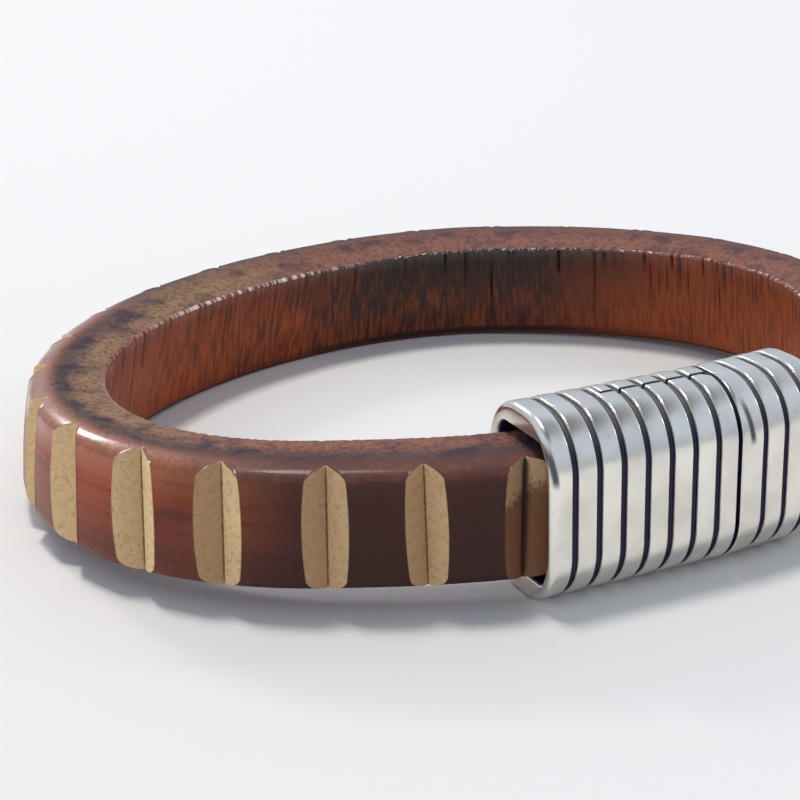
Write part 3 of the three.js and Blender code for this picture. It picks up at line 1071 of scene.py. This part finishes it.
    def _relaxed(self, cut: Cut, open_half: np.ndarray) -> np.ndarray:
        """Half widths that let the columns spread again away from the tips of a cut.

        Args:
            cut: the cut.
            open_half: half widths of its open part, 0 where it is closed.

        Returns:
            A half width for each outline point.
        """
        steps = np.hypot(np.diff(self.down, append=self.down[:1]), np.diff(self.out, append=self.out[:1]))
        place = np.concatenate([[0.0], np.cumsum(steps)[:-1]])
        total = steps.sum()
        tips = place[open_half > 0]
        from_top = (tips.min() - place) % total
        from_low = (place - tips.max()) % total
        away = np.where(open_half > 0, 0.0, np.minimum(from_top, from_low))
        return np.maximum(ease(0.0, 3 * cut.wide / 2, away) * cut.wide / 2, self.lip)

    def _lowered(self, runs: np.ndarray) -> np.ndarray:
        """Presses the V cuts.

        Args:
            runs: running lengths, a row for each outline point.

        Returns:
            The outward distance of each point.
        """
        out = np.repeat(self.out[:, None], runs.shape[1], axis=1)
        for cut in self.cuts:
            off = np.abs(runs - (cut.run + cut.slant * self.down)[:, None])
            out = np.minimum(out, self.sizes.out - cut.depth + off * cut.depth / (cut.wide / 2))
        return out

    def _wrinkles(self, runs: np.ndarray) -> np.ndarray:
        """Wrinkles of the wrist side, which run down from its top edge.

        Args:
            runs: running lengths, a row for each outline point.

        Returns:
            The depth of each point below the smooth side.
        """
        rng = np.random.default_rng(self.seed + 1)
        height = np.interp(self.around, [0, 1, 2, 2.25, 7, 8], [0, 1, 1.05, 1.15, 0, 0])
        fade_at, fades = [0, 1.0, 1.8, 2.1, 2.35, 7.0, 7.5, 8], [0.8, 1, 1.1, 0.7, 0, 0, 0.4, 0.8]
        fade = np.interp(self.around, fade_at, fades)
        bounds = np.cumsum(rng.uniform(*self.fold_widths, int(self.loop.line_length / self.fold_widths[0])))
        fold = np.clip(np.searchsorted(bounds, runs), 1, len(bounds) - 1)
        share = (runs - bounds[fold - 1]) / (bounds[fold] - bounds[fold - 1])
        deep = rng.uniform(*self.fold_depths, len(bounds))
        deep = deep[fold - 1] * (1 - share) + deep[fold] * share
        reach = rng.uniform(0.3, 0.8, len(bounds))[fold]
        fall = ease(0.0, 1.0, (height[:, None] - 1 + reach) / reach)
        depth = deep * np.abs(np.clip(2 * share - 1, -1, 1)) ** 1.8 * fall * fade[:, None]
        # A row about halfway up the wrist side tells which columns are near
        middle = runs[len(self.down) // 8]
        for family in self.creases:
            run = 0.0
            while run < self.loop.line_length:
                run += family.spacing * rng.uniform(0.4, 1.6)
                wide, deep = rng.uniform(*family.widths), rng.uniform(*family.depths)
                reach, slant = rng.uniform(family.shortest, 1.1), rng.uniform(-0.25, 0.25) * MM
                first, last = np.searchsorted(middle, [run - self.crease_half, run + self.crease_half])
                near = runs[:, first:last] - run - slant * (1 - height)[:, None]
                fall = ease(1 - reach, 1.25 - reach, height)[:, None]
                depth[:, first:last] += deep * np.exp(-((near / wide) ** 2)) * fall * fade[:, None]
        calm = self.calm_share + (1 - self.calm_share) * ease(*self.calm_run, runs)
        return np.minimum(depth, self.deepest) * calm

    def skin(self) -> tuple[Skin, np.ndarray]:
        """Builds the mesh.

        Returns:
            The skin on the flat loop, and the points of the strap before its fine relief.
        """
        runs, facets, masks = self._columns()
        out = self._lowered(runs)
        down = np.repeat(self.down[:, None], runs.shape[1], axis=1)
        plain = self.loop.bend_round(down, out, runs)
        before = np.roll(np.stack([self.down, self.out]), 1, axis=1)
        after = np.roll(np.stack([self.down, self.out]), -1, axis=1)
        tangent = after - before
        tangent /= np.linalg.norm(tangent, axis=0)
        normal_down, normal_out = -tangent[1][:, None], tangent[0][:, None]
        if (normal_out[:, 0] * self.out).sum() < 0:
            normal_down, normal_out = -normal_down, -normal_out
        wrinkle = self._wrinkles(runs)
        round_way = np.repeat(np.cumsum(np.hypot(*(after - before)) / 2)[:, None], runs.shape[1], axis=1)
        nap, dent, wave = (
            depth + depth * relief.at(runs, round_way) for relief, depth in (self.nap, self.dent, self.wave)
        )
        around = self.around[:, None]
        on_top = ease(1.6, 2.1, around) * (1 - ease(3.0, 3.3, around))
        on_face = ease(3.2, 3.6, around) * (1 - ease(5.5, 6.0, around))
        sunk = wrinkle + on_top * nap + on_face * (dent + wave) * (1 - masks)
        down, out = down - normal_down * sunk, out - normal_out * sunk
        points = self.loop.bend_round(down, out, runs)
        return self._woven(points, runs, facets, masks, wrinkle), plain.reshape(-1, 3)

    def _woven(self, points: np.ndarray, runs: np.ndarray, facets: np.ndarray, masks: np.ndarray,
               wrinkle: np.ndarray) -> Skin:
        """Joins the grid of points to a closed skin.

        Args:
            points: the points on the flat loop.
            runs: their running lengths.
            facets: their places across a cut.
            masks: whether they lie in a cut.
            wrinkle: how deep they lie in a wrinkle.

        Returns:
            The skin with the numbers that the leather reads.
        """
        rows, columns = runs.shape
        row, column = np.meshgrid(np.arange(rows), np.arange(columns - 1), indexing="ij")
        following = (row + 1) % rows
        quads = np.stack([row, following, following, row], axis=-1) * columns
        quads = quads + np.stack([column, column, column + 1, column + 1], axis=-1)
        start = self.around[row]
        end = np.where(following == 0, len(Zone), self.around[following])
        corners = np.stack([start, end, end, start], axis=-1).reshape(-1)
        first = np.arange(rows) * columns
        caps = [first.tolist()[::-1], (first + columns - 1).tolist()]
        return Skin(
            points.reshape(-1, 3),
            quads.reshape(-1, 4).tolist() + caps,
            {
                "along": runs.reshape(-1),
                "crease": (wrinkle / self.full_crease).reshape(-1),
                "cut": masks.reshape(-1),
                "facet": facets.reshape(-1),
            },
            {"around": np.concatenate([corners, np.zeros(2 * rows)])},
        ).outward()

    def make(self, place: Matrix, skin: Skin) -> bpy.types.Object:
        """Makes the finished strap and gives it its leather.

        Args:
            place: the matrix from the flat loop to the floor.
            skin: its mesh on the flat loop.

        Returns:
            The object, which rides on the frame and replaces its node.
        """
        made = skin.object("strap_leather", place, self.sharp)
        made.data.materials.append(self.finish.material())
        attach(made, "root")
        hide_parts("strap")
        return made


class RibTree:
    """Geometry Nodes that press evenly spaced grooves into the skin of a clasp half."""

    def __init__(self) -> None:
        """Builds the tree with a named input for each size."""
        self.tree = bpy.data.node_groups.new("clasp_ribs", "GeometryNodeTree")
        self.inputs = {}
        face = self.tree.interface
        for name, kind in (
            ("Skin", "NodeSocketGeometry"), ("Pitch", "NodeSocketFloat"), ("Groove width", "NodeSocketFloat"),
            ("Groove depth", "NodeSocketFloat"), ("First groove", "NodeSocketFloat"),
            ("Grooves", "NodeSocketFloat"), ("Edge", "NodeSocketFloat"), ("Crown", "NodeSocketFloat"),
            ("Silver", "NodeSocketMaterial"),
        ):
            self.inputs[name] = face.new_socket(name, in_out="INPUT", socket_type=kind).identifier
        face.new_socket("Ribbed", in_out="OUTPUT", socket_type="NodeSocketGeometry")
        self._build()

    def _build(self) -> None:
        """Lays out the nodes."""
        g = Nodes(self.tree)
        source = g.tree.nodes.new("NodeGroupInput")
        value = {name: Signal(g, source.outputs[name]) for name in self.inputs}
        run, weight = self._read(g, "run"), self._read(g, "weight")
        steps = (run - value["First groove"]) / value["Pitch"]
        nearest = g.math("ROUND", steps).at_least(0.0).at_most(value["Grooves"] - 1)
        away = abs(steps - nearest) * value["Pitch"]
        half, edge = value["Groove width"] * 0.5, value["Edge"]
        wall = g.add("ShaderNodeMapRange", {"interpolation_type": "SMOOTHSTEP"},
                     {"Value": away, "From Min": half - edge, "From Max": half + edge})
        groove = (1 - wall) * weight
        off = (away / (value["Pitch"] * 0.5)).at_most(1.0)
        crown = (1 - off) * (1 - off) * value["Crown"] * weight
        inset = (groove * value["Groove depth"]).at_least(crown)
        normal = g.add("GeometryNodeInputNamedAttribute", {"data_type": "FLOAT_VECTOR"}, {"Name": "side"})
        push = g.add("ShaderNodeVectorMath", {"operation": "SCALE"}, {0: normal, "Scale": inset * -1.0})
        moved = g.add("GeometryNodeSetPosition", inputs={"Geometry": value["Skin"], "Offset": push})
        kept = g.add("GeometryNodeStoreNamedAttribute", {"data_type": "FLOAT", "domain": "POINT"},
                     {"Geometry": moved, "Name": "groove", "Value": groove})
        real = g.add("GeometryNodeRealizeInstances", inputs={"Geometry": kept})
        silver = g.add("GeometryNodeSetMaterial", inputs={"Geometry": real, "Material": value["Silver"]})
        g.add("NodeGroupOutput", inputs={0: silver})

    def _read(self, g: Nodes, name: str) -> Signal:
        """Reads a number kept on the mesh."""
        return g.add("GeometryNodeInputNamedAttribute", {"data_type": "FLOAT"}, {"Name": name})

    def press(self, target: bpy.types.Object, values: dict[str, object]) -> None:
        """Runs the tree on an object and keeps the result as its plain mesh.

        Args:
            target: the object to groove.
            values: the tree's inputs by name.
        """
        ribs = target.modifiers.new("ribs", "NODES")
        ribs.node_group = self.tree
        for name, value in values.items():
            ribs[self.inputs[name]] = value
        graph = bpy.context.evaluated_depsgraph_get()
        pressed = bpy.data.meshes.new_from_object(target.evaluated_get(graph))
        target.modifiers.remove(ribs)
        target.data = pressed


class Half(Enum):
    """The two halves of the clasp, by the names of their nodes."""

    SOCKET = "clasp_socket"
    TONGUE = "clasp_tongue"


@dataclass
class Clasp:
    """The ribbed clasp: a shell half with a socket, and a bent half with a tongue under the shell.

    Attributes:
        loop: the loop that it lies on.
        finish: its silver.
        corner_steps: points on each corner of an outline.
        side_steps: points on each side of an outline, between its corners.
        soft: softening of the edge where an outline is cut flat.
        groove_edge: half width of the slope beside a groove.
        crown: how much lower a rib lies beside its grooves than in its middle.
        cut_edge: rounding of the edges at the lap joint.
        groove_steps: rings beside the middle of a groove, in half widths of it.
        ring_gap: gap between one group of rings and the next.
        closest: distance below which two rings become one.
        touch: gap between two rings that make a step.
        lip_rings, rim_rings, nick_rings: rings round the pocket's lip, round the rim and along the nick.
        under_grooves: grooves of the tongue half that lie under the shell.
        sharp: angle in degrees over which an edge stays sharp.
    """

    loop: Loop
    finish: AntiqueSilver = AntiqueSilver()
    corner_steps: int = 26
    side_steps: int = 6
    soft: float = 0.05 * MM
    groove_edge: float = 0.09 * MM
    crown: float = 0.05 * MM
    cut_edge: float = 0.12 * MM
    groove_steps: tuple[float, ...] = (0.0, 0.4, 0.72, 0.86, 1.0, 1.14, 1.3, 1.6, 2.2, 3.1)
    ring_gap: float = 0.05 * MM
    closest: float = 0.02 * MM
    touch: float = 0.01 * MM
    lip_rings: int = 6
    rim_rings: int = 7
    nick_rings: int = 5
    under_grooves: int = 4
    sharp: float = 48.0

    def __post_init__(self) -> None:
        """Takes the sizes from the loop."""
        self.sizes = self.loop.clasp

    def _rounded(self, low: float, high: float, back: float, front: float, radius: float) -> np.ndarray:
        """Outline with round corners.

        Args:
            low: its lower side.
            high: its upper side.
            back: its wrist side.
            front: its outer side.
            radius: radius of its corners.

        Returns:
            A row for each point: its place, its outward side and how much painted shade it takes.
        """
        corners = ((high, front, 0), (low, front, 90), (low, back, 180), (high, back, 270))
        points, sides = [], []
        for x, y, start in corners:
            above = math.copysign(radius, y - (back + front) / 2)
            middle = np.array([x - math.copysign(radius, x), y - above])
            turns = np.radians(start + 90 * np.linspace(0, 1, self.corner_steps))
            normals = np.stack([np.cos(turns), np.sin(turns)], axis=1)
            points.append(middle + radius * normals)
            sides.append(normals)
        ring, side = [], []
        for k in range(4):
            ring.append(points[k])
            side.append(sides[k])
            share = np.linspace(0, 1, self.side_steps + 2)[1:-1, None]
            ring.append(points[k][-1] * (1 - share) + points[(k + 1) % 4][0] * share)
            side.append(np.repeat(sides[k][-1:], self.side_steps, axis=0))
        count = sum(len(part) for part in ring)
        return np.concatenate([np.concatenate(ring), np.concatenate(side), np.zeros((count, 1))], axis=1)

    def _outer(self, inset: float) -> np.ndarray:
        """Outline of the clasp, shrunk by inset."""
        z = self.sizes
        return self._rounded(z.low + inset, z.high - inset, z.back + inset, z.front - inset, z.corner - inset)

    def _pocket(self, spread: float) -> np.ndarray:
        """Outline of the pocket for a strap end.

        Args:
            spread: how much wider it is on each side.

        Returns:
            The outline.
        """
        z = self.sizes
        low, high = -(z.strap.width / 2 + z.gap_under), z.strap.width / 2 + z.gap_over
        back, front = -(z.strap.thick / 2 + z.gap_side), z.strap.out + z.gap_side
        radius = z.pocket_round / 2 + spread
        return self._rounded(low - spread, high + spread, back - spread, front + spread, radius)

    def _clipped(self, ring: np.ndarray, plane: float, keep_front: bool) -> np.ndarray:
        """Flattens an outline on one side of a plane, with a softened edge. Grooves leave that part flat.

        Args:
            ring: the outline.
            plane: the plane's distance outward from the middle line.
            keep_front: whether the outer side is kept, or else the wrist side.

        Returns:
            The flattened outline.
        """
        ring = ring.copy()
        off = ring[:, 1] - plane
        sign = 1.0 if keep_front else -1.0
        soft = np.sqrt(off**2 + self.soft**2)
        ring[:, 1] = plane + sign * 0.5 * (sign * off + soft)
        flat = sign * off < 0
        ring[flat, 3] = 0.0
        # Painted shade on the flat faces of the lap joint
        ring[flat, 4] = 1.0
        return ring

    def _stations(self, start: float, end: float, grooves: list[float]) -> list[float]:
        """Places of the rings between two ends, close together at each groove.

        Args:
            start: place of the first ring.
            end: where the rings end.
            grooves: middles of the grooves.

        Returns:
            The places in order.
        """
        half = self.sizes.groove_width / 2
        places = {start, end}
        for middle in grooves:
            for share in self.groove_steps:
                places.update({middle - share * half, middle + share * half})
        inside = sorted(p for p in places if start <= p <= end)
        return [p for i, p in enumerate(inside) if i == 0 or p - inside[i - 1] > self.closest]

    def _loft(self, rings: list[tuple[np.ndarray, ...]]) -> Skin:
        """Joins rings to a closed skin.

        Args:
            rings: for each ring its points, outward sides, running places, groove weights and painted shade.

        Returns:
            The skin on the flat loop, with a fan at each end.
        """
        count = len(rings[0][0])
        points, sides, run, weight, shade = (np.concatenate([ring[k] for ring in rings]) for k in range(5))
        faces = []
        for k in range(len(rings) - 1):
            for i in range(count):
                j = (i + 1) % count
                faces.append([k * count + i, k * count + j, (k + 1) * count + j, (k + 1) * count + i])
        for first, reverse in ((0, True), ((len(rings) - 1) * count, False)):
            middle = points[first:first + count].mean(axis=0)
            points = np.concatenate([points, middle[None]])
            sides = np.concatenate([sides, np.zeros((1, 3))])
            # Painted shade at the middle of each end cap
            run, weight, shade = np.append(run, run[first]), np.append(weight, 0.0), np.append(shade, 1.0)
            centre = len(points) - 1
            for i in range(count):
                j = (i + 1) % count
                fan = [centre, first + i, first + j]
                faces.append(fan[::-1] if reverse else fan)
        basis = self.loop.clasp_to_loop(sides) - self.loop.split_point
        numbers = {"run": run, "weight": weight, "shade": shade}
        numbers.update({f"side_{axis}": basis[:, k] for k, axis in enumerate("xyz")})
        return Skin(self.loop.clasp_to_loop(points), faces, numbers).outward()

    def _ring(self, outline: np.ndarray, along: float | np.ndarray, weight: float, run_shift: float = 0.0,
              bend: float = 0.0, shade: float = 0.0) -> tuple[np.ndarray, ...]:
        """One ring of the loft.

        Args:
            outline: points and sides across the clasp.
            along: place along the clasp, one or one for each point.
            weight: how much of the groove it takes, from 0 to 1.
            run_shift: what is added to the place to give the running place.
            bend: turn of the half about the split, in degrees.
            shade: how much painted shade the ring takes at least, from 0 to 1.

        Returns:
            Points, sides, running places, groove weights and painted shade.
        """
        place = np.zeros(len(outline)) + along
        turn = math.radians(bend)
        cos, sin = math.cos(turn), math.sin(turn)
        x, y = outline[:, 0], outline[:, 1]
        points = np.stack([x, y * cos - place * sin, y * sin + place * cos], axis=1)
        sides = np.stack([outline[:, 2], outline[:, 3] * cos, outline[:, 3] * sin], axis=1)
        full = np.ones(len(outline))
        return points, sides, place + run_shift, full * weight, np.maximum(outline[:, 4], shade)

    def _mouth(self, mouth: float, inwards: float, bend: float, run_shift: float) -> list:
        """Rings from the pocket's floor out over the rounded rim.

        Args:
            mouth: place of the mouth.
            inwards: the way into the half, 1 or -1.
            bend: turn of the half about the split, in degrees.
            run_shift: what is added to a place to give the running place.

        Returns:
            The rings in order.
        """
        z = self.sizes
        floor = mouth + inwards * z.pocket_depth
        # Painted shade: dark inside the pocket, fading out over its lip
        rings = [
            self._ring(self._pocket(0), floor, 0, run_shift, bend, 1.0),
            self._ring(self._pocket(0), mouth + inwards * 3 * z.lip, 0, run_shift, bend, 1.0),
        ]
        for share in np.linspace(0, 1, self.lip_rings):
            turn = share * math.pi / 2
            spread, back = z.lip * (1 - math.cos(turn)), z.lip * (1 - math.sin(turn))
            ring, place = self._pocket(spread), mouth + inwards * back
            rings.append(self._ring(ring, place, 0, run_shift, bend, 1 - share))
        for share in np.linspace(0, 1, self.rim_rings):
            turn = share * math.pi / 2
            inset, back = z.rim * (1 - math.sin(turn)), z.rim * (1 - math.cos(turn))
            rings.append(self._ring(self._outer(inset), mouth + inwards * back, 0, run_shift, bend))
        return rings

    def socket_skin(self) -> Skin:
        """Builds the socket half: pocket, rim, ribbed shell, step, and the shell over the tongue.

        Returns:
            Its skin on the flat loop.
        """
        z = self.sizes
        grooves = [-z.lip_rib - i * z.rib_pitch for i in range(z.socket_grooves)]
        mouth, step = -z.socket_length, -z.tongue_length - z.lap_gap
        rings = self._mouth(mouth, 1.0, 0.0, 0.0)
        outer = self._outer(0)
        for place in self._stations(mouth + z.rim + self.ring_gap, step, grooves):
            rings.append(self._ring(outer, place, 1))
        for place in self._stations(step + self.touch, -z.shell_nick, grooves):
            rings.append(self._ring(self._clipped(outer, z.lap_plane, True), place, 1))
        edge = self.cut_edge
        for place in np.linspace(-z.shell_nick + self.ring_gap, -edge, self.nick_rings):
            rise = z.shell_nick + place
            rings.append(self._ring(self._clipped(outer, z.lap_plane + rise, True), place, 1))
        # Painted shade on the shell's end face at the split, fading out over its rounded edge
        for share in (0.5, 1.0):
            turn = share * math.pi / 2
            inset = edge * (1 - math.cos(turn))
            ring = self._clipped(self._outer(inset), z.lap_plane + z.shell_nick + inset, True)
            rings.append(self._ring(ring, -edge * (1 - math.sin(turn)), 0, shade=share))
        return self._loft(rings)

    def tongue_skin(self) -> Skin:
        """Builds the tongue half: tongue, shoulder, bent ribbed body, rim and pocket.

        Returns:
            Its skin on the flat loop.
        """
        z = self.sizes
        outer, edge = self._outer(0), self.cut_edge
        plane = z.lap_plane - z.lap_gap
        grooves = [-z.lip_rib - i * z.rib_pitch for i in range(self.under_grooves)]
        rings = []
        for share in (1.0, 0.5):
            turn = share * math.pi / 2
            inset = edge * (1 - math.cos(turn))
            ring = self._clipped(self._outer(inset), plane - inset, False)
            rings.append(self._ring(ring, -z.tongue_length + edge * (1 - math.sin(turn)), 0))
        for place in self._stations(-z.tongue_length + edge, -2 * self.ring_gap, grooves):
            rings.append(self._ring(self._clipped(outer, plane, False), place, 1))
        # Painted shade on the neck between the two halves
        neck = self._clipped(self._outer(z.groove_depth), plane, False)
        rings.append(self._ring(neck, 0.0, 0, shade=1.0))
        rings.append(self._ring(neck, z.lap_gap - self.touch, 0, shade=1.0))
        turn = math.radians(z.bend)

        def trimmed(ring: np.ndarray, gap: float) -> np.ndarray:
            """Where a bent outline meets a plane parallel to the split."""
            return (gap - ring[:, 1] * math.sin(turn)) / math.cos(turn)

        # Painted shade on the bent half's face at the split, fading out over its rounded edge
        for share in (1.0, 0.5, 0.0):
            angle = share * math.pi / 2
            ring = self._outer(edge * (1 - math.cos(angle)))
            start = trimmed(ring, z.lap_gap + edge * (1 - math.sin(angle)))
            rings.append(self._ring(ring, start, 0, 0.0, z.bend, share))
        body_grooves = [z.shoulder_rib + i * z.rib_pitch for i in range(z.tongue_grooves)]
        shift = 2 * z.rib_pitch - z.lip_rib - z.shoulder_rib
        first = z.shoulder_rib - self.groove_steps[-1] * z.groove_width / 2
        start = trimmed(outer, z.lap_gap + edge)
        for share in (0.2, 0.5, 0.8):
            rings.append(self._ring(outer, start * (1 - share) + first * share, 0, shift, z.bend))
        for place in self._stations(first, z.tongue_body - z.rim - self.ring_gap, body_grooves):
            rings.append(self._ring(outer, place, 1, shift, z.bend))
        rings += self._mouth(z.tongue_body, -1.0, z.bend, shift)[::-1]
        return self._loft(rings)

    def make(self, half: Half, place: Matrix, skin: Skin, ribs: RibTree,
             silver: bpy.types.Material) -> bpy.types.Object:
        """Makes one half and gives it its ribs and its silver.

        Args:
            half: which half.
            place: the matrix from the flat loop to the floor.
            skin: its mesh on the flat loop.
            ribs: the Geometry Nodes that press the grooves.
            silver: its material.

        Returns:
            The object, which rides on the frame and replaces its node.
        """
        z = self.sizes
        turn = np.array(place.to_3x3())
        sides = np.stack([skin.numbers.pop(f"side_{axis}") for axis in "xyz"], axis=1) @ turn.T
        made = skin.object(f"{half.value}_silver", place, self.sharp)
        side = made.data.attributes.new("side", "FLOAT_VECTOR", "POINT")
        side.data.foreach_set("vector", sides.astype(np.float32).reshape(-1))
        # The tongue half's grooves go on past the split, where one place between the two groups takes none
        behind, ahead = z.socket_grooves, 0
        if half is Half.TONGUE:
            behind, ahead = self.under_grooves, 1 + z.tongue_grooves
        ribs.press(made, {
            "Pitch": z.rib_pitch, "Groove width": z.groove_width, "Groove depth": z.groove_depth,
            "First groove": -z.lip_rib - (behind - 1) * z.rib_pitch, "Grooves": float(behind + ahead),
            "Edge": self.groove_edge, "Crown": self.crown, "Silver": silver,
        })
        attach(made, "root")
        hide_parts(half.value)
        return made


@dataclass(frozen=True)
class Lamp:
    """Soft square lamp that points at the part.

    Attributes:
        name: its name.
        place: where it stands, in metres.
        power: its power in watts.
        size: length of its side, in metres.
        colour: its colour.
    """

    name: str
    place: tuple[float, float, float]
    power: float
    size: float
    colour: tuple[float, float, float]


@dataclass
class Studio:
    """Pale floor, soft light from above and behind, and the camera."""

    lie: Matrix
    floor_size: float = 3.0
    floor_tone: Colour = tone(235, 231, 227)
    sky: Colour = tone(206, 218, 236)
    zenith: Colour = tone(110, 112, 118)
    horizon: Colour = tone(190, 198, 208)
    sky_strength: float = 0.95
    camera_place: tuple[float, float, float] = (-0.685 * MM, -167.4 * MM, 59.76 * MM)
    pitch: float = 22.6
    roll: float = -0.9
    focal_pixels: float = 1987.5
    middle_pixel: tuple[float, float] = (461.9, 479.1)
    image_pixels: float = 800.0
    sensor: float = 36.0
    clip: tuple[float, float] = (0.01, 10.0)
    floor_roughness: float = 0.9
    lamps: tuple[Lamp, ...] = (
        Lamp("overhead", (-0.13, 0.12, 0.93), 4.4, 0.17, (1.0, 0.985, 0.95)),
        Lamp("window", (-0.46, 0.60, 0.53), 1.5, 0.15, (1.0, 0.99, 0.97)),
        Lamp("glints", (0.78, 0.23, 0.39), 0.4, 0.12, (1.0, 0.99, 0.97)),
    )

    def floor(self) -> bpy.types.Object:
        """Makes the floor.

        Returns:
            The object, which belongs to the render only.
        """
        half = self.floor_size / 2
        mesh = bpy.data.meshes.new("floor")
        corners = [(-half, -half, 0), (half, -half, 0), (half, half, 0), (-half, half, 0)]
        mesh.from_pydata(corners, [], [[0, 1, 2, 3]])
        made = bpy.data.objects.new("floor", mesh)
        bpy.context.scene.collection.objects.link(made)
        s = Surface("pale_floor")
        mesh.materials.append(s.finish({"Base Color": self.floor_tone, "Roughness": self.floor_roughness}))
        return made

    def surroundings(self) -> None:
        """Makes the soft surroundings: pale all round, and darker straight up."""
        world = bpy.data.worlds.new("studio")
        world.use_nodes = True
        bpy.context.scene.world = world
        n = Nodes(world.node_tree)
        where = n.add("ShaderNodeTexCoord", output="Generated")
        height = n.add("ShaderNodeSeparateXYZ", inputs={0: where}, output="Z")
        colour = n.mix(height.rise(0.05, 0.4), self.horizon, self.sky)
        colour = n.mix(height.rise(0.75, 0.95), colour, self.zenith)
        light = n.add("ShaderNodeBackground", inputs={"Color": colour, "Strength": self.sky_strength})
        n.add("ShaderNodeOutputWorld", inputs={"Surface": light})

    def add_lamp(self, lamp: Lamp) -> None:
        """Adds a lamp and turns it to the part.

        Args:
            lamp: which lamp.
        """
        data = bpy.data.lights.new(lamp.name, "AREA")
        data.energy, data.size, data.color = lamp.power, lamp.size, lamp.colour
        made = bpy.data.objects.new(lamp.name, data)
        made.location = lamp.place
        made.rotation_euler = (-Vector(lamp.place)).to_track_quat("-Z", "Y").to_euler()
        bpy.context.scene.collection.objects.link(made)

    def camera(self) -> None:
        """Sets the camera at the photograph's angle."""
        data = bpy.data.cameras.new("camera")
        data.sensor_width = self.sensor
        data.lens = self.focal_pixels * self.sensor / self.image_pixels
        data.shift_x = (self.image_pixels / 2 - self.middle_pixel[0]) / self.image_pixels
        data.shift_y = (self.middle_pixel[1] - self.image_pixels / 2) / self.image_pixels
        data.clip_start, data.clip_end = self.clip
        made = bpy.data.objects.new("camera", data)
        tip = Matrix.Rotation(math.radians(90 - self.pitch), 4, "X")
        roll = Matrix.Rotation(math.radians(self.roll), 4, "Z")
        made.matrix_world = self.lie @ Matrix.Translation(Vector(self.camera_place)) @ tip @ roll
        bpy.context.scene.collection.objects.link(made)
        bpy.context.scene.camera = made

    def build(self) -> None:
        """Builds everything round the part."""
        self.camera()
        self.floor()
        self.surroundings()
        for lamp in self.lamps:
            self.add_lamp(lamp)
        view = bpy.context.scene.view_settings
        view.view_transform = "Standard"
        view.look = "None"


def main() -> None:
    """Builds the parts in order and reports each of them."""
    logging.basicConfig(level=logging.INFO, format="%(name)s: %(message)s")
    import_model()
    loop = Loop()
    strap, clasp = Strap(loop), Clasp(loop)
    strap_skin, plain_strap = strap.skin()
    socket_skin, tongue_skin = clasp.socket_skin(), clasp.tongue_skin()
    lie = loop.lie_down(plain_strap, np.concatenate([socket_skin.points, tongue_skin.points]))
    Studio(lie).build()
    made = [strap.make(lie, strap_skin)]
    ribs, silver = RibTree(), clasp.finish.material()
    made.append(clasp.make(Half.SOCKET, lie, socket_skin, ribs, silver))
    made.append(clasp.make(Half.TONGUE, lie, tongue_skin, ribs, silver))
    for piece in made:
        LOG.info("%s: %d faces", piece.name, len(piece.data.polygons))


if __name__ == "__main__":
    main()
